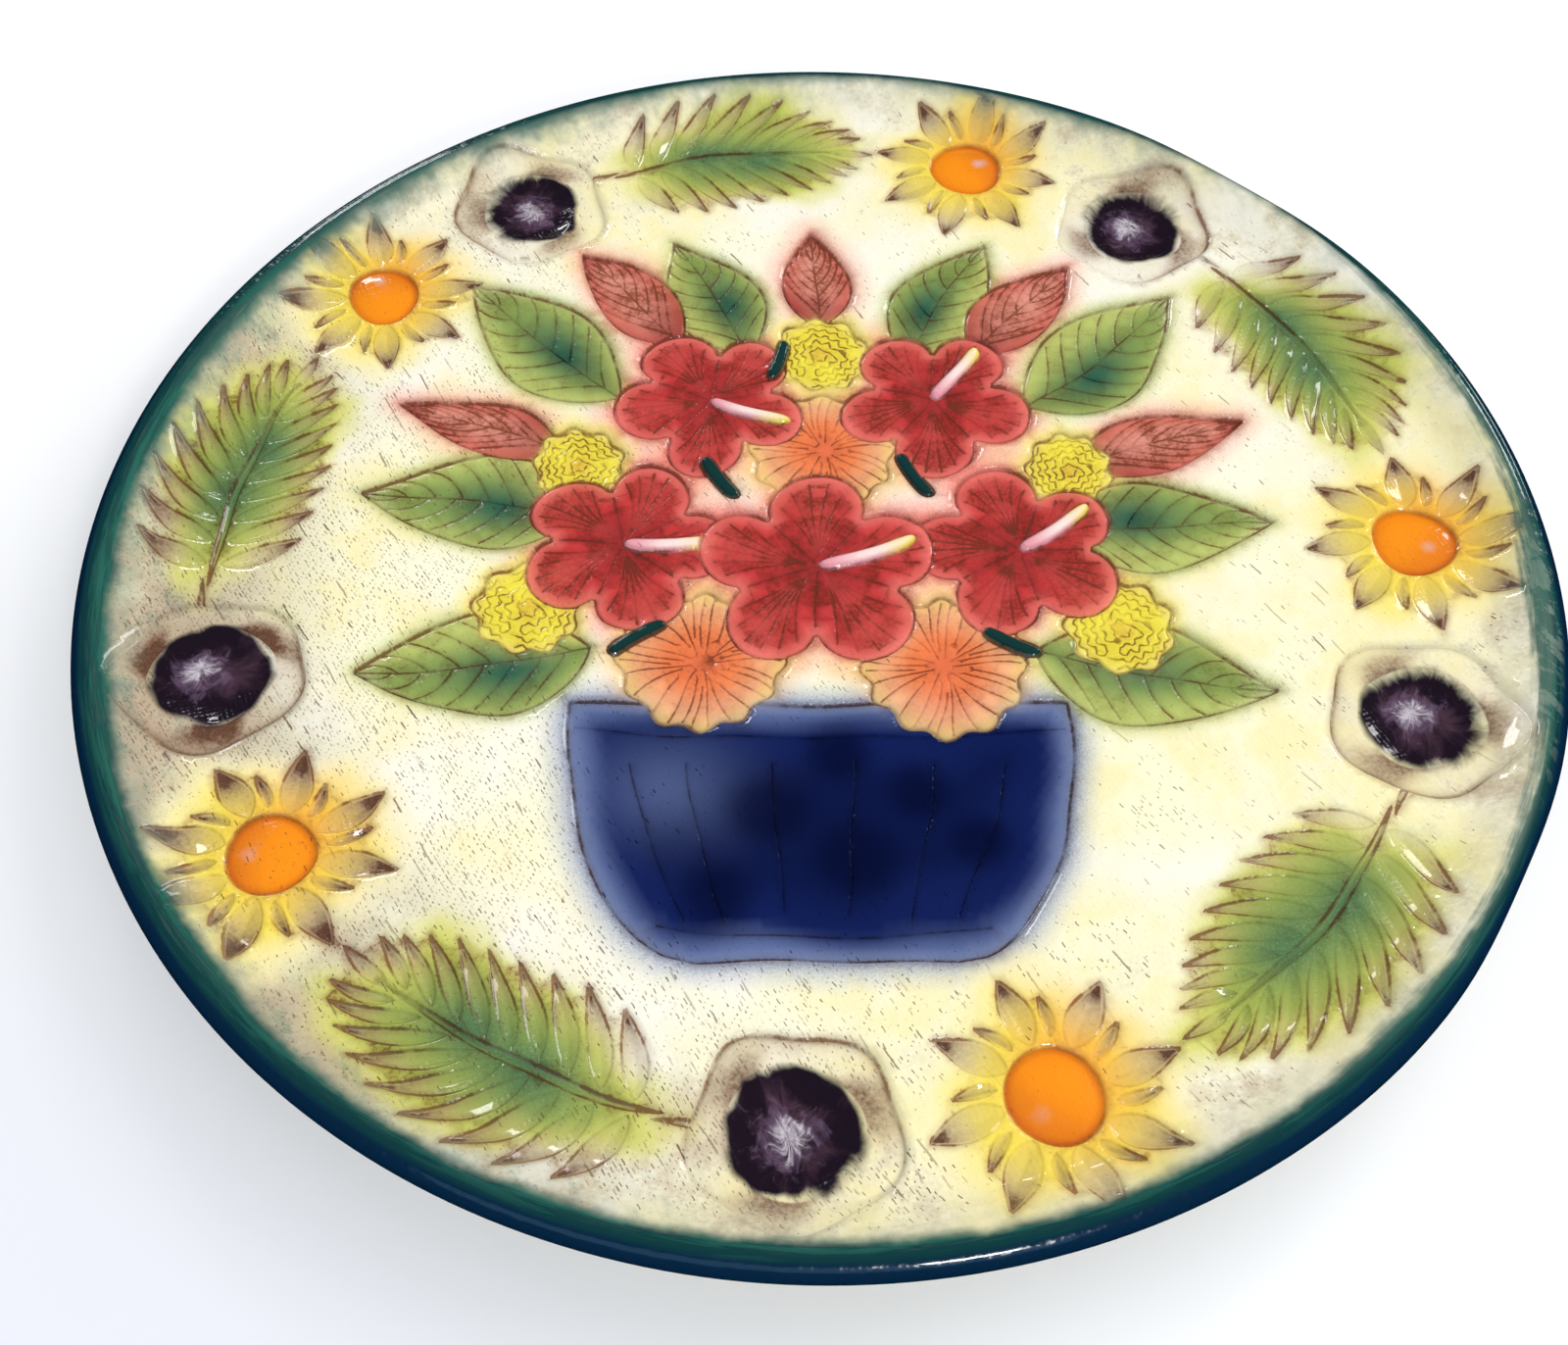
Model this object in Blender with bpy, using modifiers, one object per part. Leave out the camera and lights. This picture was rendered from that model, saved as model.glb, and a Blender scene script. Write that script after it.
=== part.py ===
"""A decorative wall plate: one piece of glazed earthenware, lying face up on its foot ring.

The plate is a shallow round dish with a rolled rim. Its face carries flowers and leaves that were
pressed into the soft clay: a bowl of flowers in the middle, and a border of ferns, dark blossoms
and daisies. Every figure is an outline worked out from its own sizes. The outlines are laid flat,
joined into one sheet of triangles, and the sheet is lifted to the dish's curve less the depth of
the mark at each point. The rim, the underside and the foot ring are one turned profile.
"""

import math

import bmesh
import bpy
import numpy as np
from mathutils import Vector
from mathutils.geometry import delaunay_2d_cdt

MM = 0.001
TURN = 2 * math.pi
NAME = "plate"

# The dish
RIM_RADIUS = 190 * MM
PLATE_HEIGHT = 30 * MM
DISH_DEPTH = 15 * MM
BORDER_DEPTH = 7.5 * MM
BORDER_WIDTH = 18 * MM
BEAD_RADIUS = 4.5 * MM
BEAD_UNDERCUT = 2 * MM
WALL = 8 * MM

# The foot ring and its two holes for a hanging wire
FOOT_RADIUS = 118 * MM
FOOT_WIDTH = 9 * MM
FOOT_HEIGHT = 6.5 * MM
FOOT_DRAFT = 1.5 * MM
WIRE_HOLE_RADIUS = 1.75 * MM
WIRE_HOLE_SPACING = 50 * MM
WIRE_HOLE_HEIGHT = 3.4 * MM
CUTTER_REACH = 4 * MM

# The hand-trimmed edge runs flat for a short way: bearing and half width in degrees, depth in metres
FLAT_SPOTS = ((46, 9, 2.0 * MM), (-33, 8, 1.5 * MM))

# The border ring; bearings in degrees, and where there are five repeats
REPEATS = 5
BORDER_INSET = 32 * MM
FIRST_BEARING = 98
DARK_BEARING = 25.5
DAISY_BEARING = 46
FROND_LENGTH = 84 * MM
FROND_REACH = 27 * MM
LEAFLETS = 9
DARK_RADIUS = 14.5 * MM
SEPAL_RADIUS = 22.5 * MM
DAISY_RADIUS = 28 * MM
DAISY_EYE = 10.5 * MM
DAISY_PETALS = 8

# The bouquet: places and lengths below are shares of this reach, written in thousandths of it
BOUQUET_REACH = 125 * MM
SHARE = BOUQUET_REACH / 125

# How deep each kind of figure is pressed, and how wide its sloping edge is
EDGE = 0.8 * MM
LEAF_PRESS = 1.0 * MM
BUD_PRESS = 1.2 * MM
POMPON_PRESS = 1.4 * MM
FAN_PRESS = 1.6 * MM
BLOSSOM_PRESS = 2.0 * MM
BOWL_PRESS = 1.3 * MM
LEAFLET_PRESS = 1.5 * MM
PETAL_PRESS = 1.9 * MM
EYE_PRESS = 1.4 * MM
SEPAL_PRESS = 0.9 * MM
DARK_PRESS = 2.0 * MM
LINE_PRESS = 0.7 * MM
PISTIL_RISE = 1.8 * MM

# How wide the lines and the pistils are
STEM_WIDTH = 2.4 * MM
LEAF_RIB_WIDTH = 1.8 * MM
PARTING_WIDTH = 2.0 * MM
FAN_RIB_WIDTH = 2.2 * MM
BOWL_LINE_WIDTH = 2.0 * MM
PISTIL_WIDTH = 5 * MM

# Fineness
BEAD_BEARINGS = (90, 60, 30, 0, -50)
SEGMENTS = 72
MERGE = 0.01 * MM
MARGIN = 1.5 * MM

FOOT_BOTTOM = 0.0
CREST_RADIUS = RIM_RADIUS - BEAD_RADIUS
FACE_RADIUS = CREST_RADIUS - 1.5 * MM
BORDER_EDGE = RIM_RADIUS - BORDER_WIDTH
BORDER_RADIUS = RIM_RADIUS - BORDER_INSET


def clear_scene():
    for thing in list(bpy.data.objects):
        bpy.data.objects.remove(thing)


def smooth_step(t):
    t = np.clip(t, 0, 1)
    return t * t * (3 - 2 * t)


def face_height(radius):
    """The dish before any figure is pressed in: a shallow bowl that turns up to the rim's crest."""
    bowl = PLATE_HEIGHT - DISH_DEPTH + (DISH_DEPTH - BORDER_DEPTH) * (radius / BORDER_EDGE) ** 2
    rise = smooth_step((radius - BORDER_EDGE) / (CREST_RADIUS - BORDER_EDGE))
    return bowl + (PLATE_HEIGHT - bowl) * rise


# Outlines, each in its own frame


def leaf(length, width, bend, steps):
    """A pointed oval from its stalk at the origin along +X; bend curves it sideways."""
    side = [
        (length * i / steps, 0.5 * width * math.sin(math.pi * (i / steps) ** 0.8))
        for i in range(1, steps)
    ]
    around = [(0.0, 0.0)] + side + [(length, 0.0)] + [(x, -y) for x, y in reversed(side)]
    return [(x, y + bend * x * x / length) for x, y in around]


def leaf_rib(length, bend=0.0, first=0.2, last=0.8, steps=2):
    along = [length * (first + (last - first) * i / steps) for i in range(steps + 1)]
    return [(x, bend * x * x / length) for x in along]


def lobed(radius, lobes, depth, per_lobe):
    """A round outline whose radius swells and shrinks: lobes times round, by depth of itself."""
    bearings = [TURN * i / (lobes * per_lobe) for i in range(lobes * per_lobe)]
    return [polar(radius * (1 + depth * math.cos(lobes * a)), a) for a in bearings]


def five_petals(radius, notch=0.42, per_petal=6):
    """Five broad round petals that meet in notches."""
    bearings = [TURN * (i + 0.5) / (5 * per_petal) for i in range(5 * per_petal)]
    return [polar(radius * (1 - notch + notch * abs(math.cos(2.5 * a)) ** 0.6), a) for a in bearings]


def bowl_side(half_lip, half_foot, height, steps=8):
    """A round bowl seen from the side, its lip on y = 0 and its foot below."""
    right = []
    for i in range(steps + 1):
        drop = i / steps
        right.append((half_foot + (half_lip - half_foot) * math.sqrt(1 - drop ** 2.2), -height * drop))
    return right + [(-x, y) for x, y in reversed(right)]


def polar(radius, bearing):
    return (radius * math.cos(bearing), radius * math.sin(bearing))


def placed(points, x, y, bearing=0.0):
    c, s = math.cos(bearing), math.sin(bearing)
    return [(x + c * px - s * py, y + s * px + c * py) for px, py in points]


def bent_round(points, bearing):
    """Points on the border's own strip, along it and out across it, laid round the ring."""
    return [polar(BORDER_RADIUS + across, bearing - along / BORDER_RADIUS) for along, across in points]


def inset(outline, distance):
    """The outline moved inwards, each corner along the line that halves it."""
    corners = [Vector(point) for point in outline]
    moved = []
    for before, here, after in zip(corners[-1:] + corners[:-1], corners, corners[1:] + corners[:1]):
        first, second = (here - before).normalized(), (after - here).normalized()
        inward = Vector((-first.y - second.y, first.x + second.x)).normalized()
        sharpness = max(0.35, inward.dot(Vector((-first.y, first.x))))
        moved.append(tuple(here + inward * distance / sharpness))
    return moved


def counterclockwise(points):
    area = sum(a[0] * b[1] - b[0] * a[1] for a, b in zip(points, points[1:] + points[:1]))
    return points if area > 0 else points[::-1]


# Marks in the clay


class Mark:
    """One pressed figure: a flat floor inside a sloping edge, or a gouge that falls to its spine."""

    def __init__(self, outline, depth, slope, spine=None):
        self.outline = counterclockwise(outline)
        self.depth = depth
        self.slope = slope
        self.spine = spine

    def chains(self):
        """The lines the sheet's edges follow: closed loops, and the open spine of a gouge."""
        loop = self.outline + self.outline[:1]
        if self.spine:
            return [loop, self.spine]
        floor = inset(self.outline, self.slope)
        return [loop, floor + floor[:1]]

    def press(self, points):
        """How deep the mark is at each point."""
        return self.depth * np.clip(inner_distance(points, self.outline) / self.slope, 0, 1)


def inner_distance(points, outline):
    """The distance from each point to the outline, negative outside it."""
    a = np.array(outline)
    b = np.roll(a, -1, axis=0)
    nearest = np.full(len(points), np.inf)
    inside = np.zeros(len(points), bool)
    for (ax, ay), (bx, by) in zip(a, b):
        px, py = points[:, 0] - ax, points[:, 1] - ay
        ex, ey = bx - ax, by - ay
        share = np.clip((px * ex + py * ey) / (ex * ex + ey * ey), 0, 1)
        nearest = np.minimum(nearest, np.hypot(px - share * ex, py - share * ey))
        crosses = (ay > points[:, 1]) != (by > points[:, 1])
        with np.errstate(divide="ignore", invalid="ignore"):
            inside ^= crosses & (px < ex * py / ey)
    return np.where(inside, nearest, -nearest)


def groove(path, width, depth):
    """A line cut along a path, tapering to nothing at both ends."""
    corners = [Vector(point) for point in path]
    left, right = [], []
    for before, here, after in zip(corners, corners[1:], corners[2:]):
        along = (after - before).normalized() * width / 2
        left.append((here.x - along.y, here.y + along.x))
        right.append((here.x + along.y, here.y - along.x))
    return Mark([path[0]] + right + [path[-1]] + left[::-1], depth, width / 2, path[1:-1])


# The border


def frond(bearing):
    """A fern spray laid along the ring: a stem with leaflets in pairs that lean to its tip."""
    half = FROND_LENGTH / 2
    pitch = FROND_LENGTH * 0.78 / LEAFLETS
    stem = [(-half + FROND_LENGTH * 0.82 * i / 6, 0.0) for i in range(7)]
    marks = [groove(bent_round(stem, bearing), STEM_WIDTH, LEAFLET_PRESS)]
    for i in range(LEAFLETS):
        share = i / (LEAFLETS - 1)
        lean = math.radians(76 - 44 * share)
        length = FROND_REACH * math.sin(math.pi * (0.24 + 0.62 * share)) ** 0.7
        width = 0.82 * pitch * math.sin(lean)
        foot = -half + 0.08 * FROND_LENGTH + pitch * i
        for side in (1, -1):
            start = (foot, side * 1.6 * MM)
            outline = placed(leaf(length, width, -0.2 * side, 4), *start, side * lean)
            spine = placed(leaf_rib(length, -0.2 * side, 0.3, 0.75, 1), *start, side * lean)
            outline, spine = bent_round(outline, bearing), bent_round(spine, bearing)
            marks.append(Mark(outline, LEAFLET_PRESS, width / 2, spine))
    tip = placed(leaf(0.17 * FROND_LENGTH, pitch * 0.45, 0.0, 3), half - 0.18 * FROND_LENGTH, 0.0)
    tip_spine = bent_round([(half * 0.8, 0.0)], bearing)
    marks.append(Mark(bent_round(tip, bearing), LEAFLET_PRESS, pitch * 0.22, tip_spine))
    return marks


def daisy(bearing):
    x, y = polar(BORDER_RADIUS, bearing)
    marks = [Mark(placed(lobed(DAISY_EYE, 3, 0.03, 5), x, y, bearing), EYE_PRESS, EDGE)]
    long_petal = DAISY_RADIUS - DAISY_EYE + 1 * MM
    for i in range(DAISY_PETALS):
        turn = bearing + TURN * i / DAISY_PETALS
        sx, sy = polar(DAISY_EYE + 0.4 * MM, turn)
        outline = placed(leaf(long_petal, 0.4 * long_petal, 0.06, 4), x + sx, y + sy, turn)
        spine = placed(leaf_rib(long_petal, 0.06, 0.35, 0.7, 1), x + sx, y + sy, turn)
        marks.append(Mark(outline, PETAL_PRESS, 0.2 * long_petal, spine))
        turn += TURN / DAISY_PETALS / 2
        sx, sy = polar(DAISY_EYE + 2 * MM, turn)
        path = placed(leaf_rib(0.55 * long_petal, 0.3, 0, 1, 2), x + sx, y + sy, turn)
        marks.append(groove(path, 0.22 * long_petal, PETAL_PRESS))
    return marks


def dark_blossom(bearing):
    x, y = polar(BORDER_RADIUS, bearing)
    sepals = placed(lobed(SEPAL_RADIUS, 5, 0.07, 4), x, y, bearing)
    heart = placed(lobed(DARK_RADIUS, 4, 0.03, 4), x, y, bearing)
    return [Mark(sepals, SEPAL_PRESS, EDGE), Mark(heart, DARK_PRESS, EDGE)]


def border_marks():
    marks = []
    for repeat in range(REPEATS):
        bearing = math.radians(FIRST_BEARING) + TURN * repeat / REPEATS
        marks += frond(bearing)
        marks += dark_blossom(bearing + math.radians(DARK_BEARING) * 5 / REPEATS)
        marks += daisy(bearing + math.radians(DAISY_BEARING) * 5 / REPEATS)
    return marks


# The bouquet: each row gives x, y, bearing in degrees, then the figure's own sizes

GREEN_LEAVES = (
    (-58, -30, 196, 60, 34, -0.10),
    (-62, 14, 170, 62, 33, 0.10),
    (-56, 56, 142, 62, 32, -0.08),
    (-20, 74, 112, 50, 28, 0.10),
    (26, 72, 64, 52, 28, -0.08),
    (60, 52, 36, 62, 33, 0.10),
    (64, 6, 8, 58, 32, -0.10),
    (56, -32, -18, 60, 34, 0.08),
)
RED_BUDS = (
    (-40, 78, 127, 46, 22, 0.05),
    (46, 74, 50, 46, 22, -0.05),
    (-70, 36, 160, 50, 19, 0.05),
    (72, 30, 20, 50, 20, -0.05),
    (2, 84, 92, 40, 20, 0.05),
)
BLOSSOMS = ((0, -4, 33, 90), (-52, 4, 29, 70), (54, 2, 29, 105), (-30, 56, 28, 50), (34, 56, 28, 125))
FANS = ((2, 38, 20), (-30, -34, 21), (32, -36, 21))
POMPONS = ((-76, -18, 14), (78, -24, 14), (2, 74, 13), (-66, 32, 12), (70, 30, 12))
BOWL = (0, -48, 62, 30, 70)
FAN_RIBS = 9


def ribbed_leaf(row, press):
    x, y, degrees, length, width, bend = row
    x, y, length, width = (SHARE * value for value in (x, y, length, width))
    bearing = math.radians(degrees)
    rib = placed(leaf_rib(length, bend, 0.04, 0.9, 3), x, y, bearing)
    outline = placed(leaf(length, width, bend, 6), x, y, bearing)
    return [Mark(outline, press, EDGE), groove(rib, LEAF_RIB_WIDTH, press + LINE_PRESS)]


def blossom(row):
    """Five petals pressed in one outline, parted by lines, with a pistil that stands up."""
    x, y, radius = (SHARE * value for value in row[:3])
    bearing = math.radians(row[3])
    marks = [Mark(placed(five_petals(radius), x, y, bearing), BLOSSOM_PRESS, EDGE)]
    for i in range(5):
        turn = bearing + TURN * (i + 0.5) / 5
        line = placed([polar(radius * share, turn) for share in (0.12, 0.3, 0.56)], x, y)
        marks.append(groove(line, PARTING_WIDTH, BLOSSOM_PRESS + LINE_PRESS))
    return marks


def pistil(row):
    x, y, radius = (SHARE * value for value in row[:3])
    turn = math.radians(row[3] - 76)
    length, width = 0.84 * radius, PISTIL_WIDTH
    outline = placed(leaf(length, width, 0.08, 4), x, y, turn)
    spine = placed(leaf_rib(length, 0.08, 0.25, 0.8, 1), x, y, turn)
    return Mark(outline, PISTIL_RISE, width / 2, spine)


def fan(row):
    """A ruffled round flower with ribs running out from its heart."""
    x, y, radius = (SHARE * value for value in row)
    marks = [Mark(placed(lobed(radius, 12, 0.06, 2), x, y), FAN_PRESS, EDGE)]
    for i in range(FAN_RIBS):
        turn = TURN * i / FAN_RIBS
        line = placed([polar(radius * share, turn) for share in (0.25, 0.55, 0.88)], x, y)
        marks.append(groove(line, FAN_RIB_WIDTH, FAN_PRESS + LINE_PRESS))
    return marks


def pompon(row):
    x, y, radius = (SHARE * value for value in row)
    return [
        Mark(placed(lobed(radius, 9, 0.09, 2), x, y), POMPON_PRESS, EDGE),
        Mark(placed(lobed(0.55 * radius, 6, 0.12, 2), x, y, 0.3), POMPON_PRESS + LINE_PRESS, EDGE),
    ]


def bowl():
    x, y, half_lip, half_foot, height = (SHARE * value for value in BOWL)
    marks = [Mark(placed(bowl_side(half_lip, half_foot, height), x, y), BOWL_PRESS, EDGE)]
    across = (-0.97, -0.6, 0, 0.6, 0.97)
    lip = [(half_lip * share, -0.14 * height + 0.04 * height * share * share) for share in across]
    foot = [(half_foot * share, -0.9 * height) for share in (-1.3, -0.5, 0.5, 1.3)]
    marks.append(groove(placed(lip, x, y), BOWL_LINE_WIDTH, BOWL_PRESS + LINE_PRESS))
    marks.append(groove(placed(foot, x, y), BOWL_LINE_WIDTH, BOWL_PRESS + LINE_PRESS))
    return marks


def bouquet_marks():
    marks = bowl()
    for row in GREEN_LEAVES:
        marks += ribbed_leaf(row, LEAF_PRESS)
    for row in RED_BUDS:
        marks += ribbed_leaf(row, BUD_PRESS)
    for row in POMPONS:
        marks += pompon(row)
    for row in FANS:
        marks += fan(row)
    for row in BLOSSOMS:
        marks += blossom(row)
    return marks


# The sheet


def ring(radius, count, offset=0.0):
    return [polar(radius, TURN * (i + offset) / count) for i in range(count)]


def face_sheet():
    """The face as one open sheet of triangles, its edge on the turned rim's first ring."""
    pressed = border_marks() + bouquet_marks()
    raised = [pistil(row) for row in BLOSSOMS]
    points, edges = [], []

    def add_chain(chain):
        start = len(points)
        for x, y in chain:
            reach = math.hypot(x, y)
            limit = min(1.0, (FACE_RADIUS - MARGIN) / reach) if reach else 1.0
            points.append((x * limit, y * limit))
        edges.extend((i, i + 1) for i in range(start, len(points) - 1))

    for mark in pressed + raised:
        for chain in mark.chains():
            add_chain(chain)
    rim = ring(FACE_RADIUS, SEGMENTS)
    first = len(points)
    points += rim
    edges += [(first + i, first + (i + 1) % SEGMENTS) for i in range(SEGMENTS)]
    for radius, offset in ((BORDER_EDGE, 0.5), (0.5 * (BORDER_EDGE + FACE_RADIUS), 0.0)):
        points += ring(radius, SEGMENTS // 2, offset)

    flat, _, triangles, *_ = delaunay_2d_cdt([Vector(p) for p in points], edges, [], 0, MERGE, True)
    places = np.array([tuple(point) for point in flat])
    depth = np.zeros(len(places))
    for mark in pressed:
        depth = np.maximum(depth, mark.press(places))
    for mark in raised:
        depth = depth - mark.press(places)
    heights = face_height(np.hypot(places[:, 0], places[:, 1])) - depth
    corners = [(x, y, z) for (x, y), z in zip(places, heights)]
    mesh = bpy.data.meshes.new("face sheet")
    mesh.from_pydata(corners, [], [list(face) for face in triangles])
    return mesh


# The turned rest


def turned_profile():
    """From the face's edge over the rolled rim, in under the dish, round the foot to its inside."""
    profile = [(FACE_RADIUS, float(face_height(FACE_RADIUS)))]
    centre_height = PLATE_HEIGHT - BEAD_RADIUS
    for degrees in BEAD_BEARINGS:
        out, up = polar(BEAD_RADIUS, math.radians(degrees))
        profile.append((CREST_RADIUS + out, centre_height + up))
    under = BORDER_EDGE - BEAD_UNDERCUT
    profile.append((under, float(face_height(BORDER_EDGE)) - WALL))
    profile.append((FOOT_RADIUS + FOOT_DRAFT, FOOT_HEIGHT))
    profile.append((FOOT_RADIUS, FOOT_BOTTOM))
    profile.append((FOOT_RADIUS - FOOT_WIDTH, FOOT_BOTTOM))
    profile.append((FOOT_RADIUS - FOOT_WIDTH - FOOT_DRAFT, FOOT_HEIGHT))
    return profile


def turned_mesh():
    profile = turned_profile()
    mesh = bpy.data.meshes.new("turned profile")
    steps = [(i, i + 1) for i in range(len(profile) - 1)]
    mesh.from_pydata([(radius, 0.0, height) for radius, height in profile], steps, [])
    lathe = bpy.data.objects.new("turned profile", mesh)
    bpy.context.scene.collection.objects.link(lathe)
    screw = lathe.modifiers.new("turn", "SCREW")
    screw.axis = "Z"
    screw.steps = SEGMENTS
    screw.render_steps = SEGMENTS
    screw.use_merge_vertices = True
    screw.merge_threshold = MERGE
    evaluated = lathe.evaluated_get(bpy.context.evaluated_depsgraph_get())
    turned = bpy.data.meshes.new_from_object(evaluated)
    bpy.data.objects.remove(lathe)
    return turned


def trim_by_hand(bm):
    """Draws the edge in at the flat spots, less and less towards the foot ring."""
    for vertex in bm.verts:
        radius = math.hypot(vertex.co.x, vertex.co.y)
        if radius <= FOOT_RADIUS + FOOT_DRAFT:
            continue
        bearing = math.degrees(math.atan2(vertex.co.y, vertex.co.x))
        near_edge = ((radius - FOOT_RADIUS) / (RIM_RADIUS - FOOT_RADIUS)) ** 2
        pull = sum(depth * math.exp(-((bearing - at) / half) ** 2) for at, half, depth in FLAT_SPOTS)
        vertex.co.xy *= 1 - pull * near_edge / radius


def plate_mesh():
    bm = bmesh.new()
    bm.from_mesh(face_sheet())
    bm.from_mesh(turned_mesh())
    bmesh.ops.remove_doubles(bm, verts=bm.verts, dist=MERGE)
    open_edges = [edge for edge in bm.edges if edge.is_boundary]
    bmesh.ops.holes_fill(bm, edges=open_edges, sides=0)
    trim_by_hand(bm)
    bmesh.ops.recalc_face_normals(bm, faces=bm.faces)
    mesh = bpy.data.meshes.new(NAME)
    bm.to_mesh(mesh)
    bm.free()
    return mesh


def wire_holes(collection):
    """Two level holes through the foot ring, side by side at the plate's top edge."""
    cutters = []
    for side in (-1, 1):
        bearing = math.pi / 2 + side * math.asin(WIRE_HOLE_SPACING / 2 / FOOT_RADIUS)
        bm = bmesh.new()
        length = FOOT_WIDTH + 2 * FOOT_DRAFT + 2 * CUTTER_REACH
        bmesh.ops.create_cone(
            bm, cap_ends=True, segments=10, radius1=WIRE_HOLE_RADIUS, radius2=WIRE_HOLE_RADIUS, depth=length
        )
        mesh = bpy.data.meshes.new("wire hole")
        bm.to_mesh(mesh)
        bm.free()
        cutter = bpy.data.objects.new("wire hole", mesh)
        x, y = polar(FOOT_RADIUS - FOOT_WIDTH / 2, bearing)
        cutter.location = (x, y, WIRE_HOLE_HEIGHT)
        cutter.rotation_euler = (0, math.pi / 2, bearing)
        cutter.hide_render = True
        cutter.display_type = "WIRE"
        collection.objects.link(cutter)
        cutters.append(cutter)
    return cutters


def glazed_clay():
    material = bpy.data.materials.new("cream glaze")
    material.use_nodes = True
    shader = material.node_tree.nodes["Principled BSDF"]
    shader.inputs["Base Color"].default_value = (0.86, 0.78, 0.56, 1)
    shader.inputs["Roughness"].default_value = 0.14
    shader.inputs["Metallic"].default_value = 0.0
    return material


def build():
    clear_scene()
    parts = bpy.data.collections.new("decorative wall plate")
    cutting = bpy.data.collections.new("cutters")
    bpy.context.scene.collection.children.link(parts)
    bpy.context.scene.collection.children.link(cutting)
    plate = bpy.data.objects.new(NAME, plate_mesh())
    plate.data.materials.append(glazed_clay())
    parts.objects.link(plate)
    for cutter in wire_holes(cutting):
        hole = plate.modifiers.new("wire hole", "BOOLEAN")
        hole.operation = "DIFFERENCE"
        hole.object = cutter
        hole.solver = "EXACT"
    plate.data.shade_smooth()
    plate.data.set_sharp_from_angle(angle=math.radians(25))


build()
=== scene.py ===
"""The looks of a decorative wall plate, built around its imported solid.

The plate is one piece of glazed clay. Its face is a sheet of fine triangles whose edges follow every
pressed outline and incised line. The rim, the underside and the foot ring are spun from one profile.
The airbrushed colours are worked out at the sheet's points, and the material adds the brown wash in
the lines, the linen marks, the brushed rim and the glaze. Lengths are in millimetres until a mesh is
made, and bearings are counterclockwise from +X as seen from above.
"""

import math

import bmesh
import bpy
import numpy as np
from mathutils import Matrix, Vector, kdtree
from mathutils.geometry import delaunay_2d_cdt


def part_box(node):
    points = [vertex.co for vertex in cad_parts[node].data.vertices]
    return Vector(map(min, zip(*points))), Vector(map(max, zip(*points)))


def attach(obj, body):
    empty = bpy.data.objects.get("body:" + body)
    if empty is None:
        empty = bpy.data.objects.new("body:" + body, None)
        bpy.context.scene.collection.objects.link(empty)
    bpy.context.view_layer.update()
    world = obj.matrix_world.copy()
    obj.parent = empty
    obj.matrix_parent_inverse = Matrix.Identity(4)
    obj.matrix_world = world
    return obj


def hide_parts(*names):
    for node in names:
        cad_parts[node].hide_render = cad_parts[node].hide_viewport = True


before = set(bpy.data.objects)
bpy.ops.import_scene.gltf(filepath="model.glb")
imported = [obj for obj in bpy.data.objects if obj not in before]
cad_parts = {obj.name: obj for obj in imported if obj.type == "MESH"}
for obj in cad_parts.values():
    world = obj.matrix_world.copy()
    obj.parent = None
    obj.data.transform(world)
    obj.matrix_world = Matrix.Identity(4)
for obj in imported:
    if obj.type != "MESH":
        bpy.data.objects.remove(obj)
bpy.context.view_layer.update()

MM = 0.001
TURN = 2 * math.pi

# The dish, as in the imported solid
plate_low, plate_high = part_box("plate")
RIM_RADIUS = (plate_high[0] - plate_low[0]) / 2 / MM
PLATE_HEIGHT = (plate_high[2] - plate_low[2]) / MM
DISH_DEPTH = 15
BORDER_DEPTH = 7.5
BORDER_WIDTH = 18
BEAD_RADIUS = 4.5
WALL = 8
FOOT_RADIUS = 118
FOOT_WIDTH = 9
FOOT_HEIGHT = 6.5
FOOT_DRAFT = 1.5
WIRE_HOLE_RADIUS = 1.75
WIRE_HOLE_SPACING = 50
WIRE_HOLE_HEIGHT = 3.4
FLAT_SPOTS = ((46, 9, 2.0), (-33, 8, 1.5))
CREST_RADIUS = RIM_RADIUS - BEAD_RADIUS
FACE_RADIUS = CREST_RADIUS - 1.5
BORDER_EDGE = RIM_RADIUS - BORDER_WIDTH

# The border ring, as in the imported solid
REPEATS = 5
BORDER_RADIUS = RIM_RADIUS - 32
FIRST_BEARING = 98
DARK_BEARING = 25.5
DAISY_BEARING = 46
FROND_LENGTH = 84
FROND_REACH = 27
LEAFLETS = 9
VEIN_PAIRS = 7
DARK_RADIUS = 14.5
SEPAL_RADIUS = 22.5
DAISY_RADIUS = 28
DAISY_EYE = 10.5
DAISY_PETALS = 8

# The bouquet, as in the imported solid. A leaf or bud is x, y, bearing in degrees, length, width and bend
GREEN_LEAVES = (
    (-58, -30, 196, 60, 34, -0.10),
    (-62, 14, 170, 62, 33, 0.10),
    (-56, 56, 142, 62, 32, -0.08),
    (-20, 74, 112, 50, 28, 0.10),
    (26, 72, 64, 52, 28, -0.08),
    (60, 52, 36, 62, 33, 0.10),
    (64, 6, 8, 58, 32, -0.10),
    (56, -32, -18, 60, 34, 0.08),
)
RED_BUDS = (
    (-40, 78, 127, 46, 22, 0.05),
    (46, 74, 50, 46, 22, -0.05),
    (-70, 36, 160, 50, 19, 0.05),
    (72, 30, 20, 50, 20, -0.05),
    (2, 84, 92, 40, 20, 0.05),
)
# A blossom is x, y, radius and bearing
BLOSSOMS = ((0, -4, 33, 90), (-52, 4, 29, 70), (54, 2, 29, 105), (-30, 56, 28, 50), (34, 56, 28, 125))
# A fan flower or a pompon is x, y and radius
FANS = ((2, 38, 20), (-30, -34, 21), (32, -36, 21))
POMPONS = ((-76, -18, 14), (78, -24, 14), (2, 74, 13), (-66, 32, 12), (70, 30, 12))
# The bowl is x and y of its lip, half the widths of lip and foot, and height
BOWL = (0, -48, 62, 30, 70)
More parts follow.
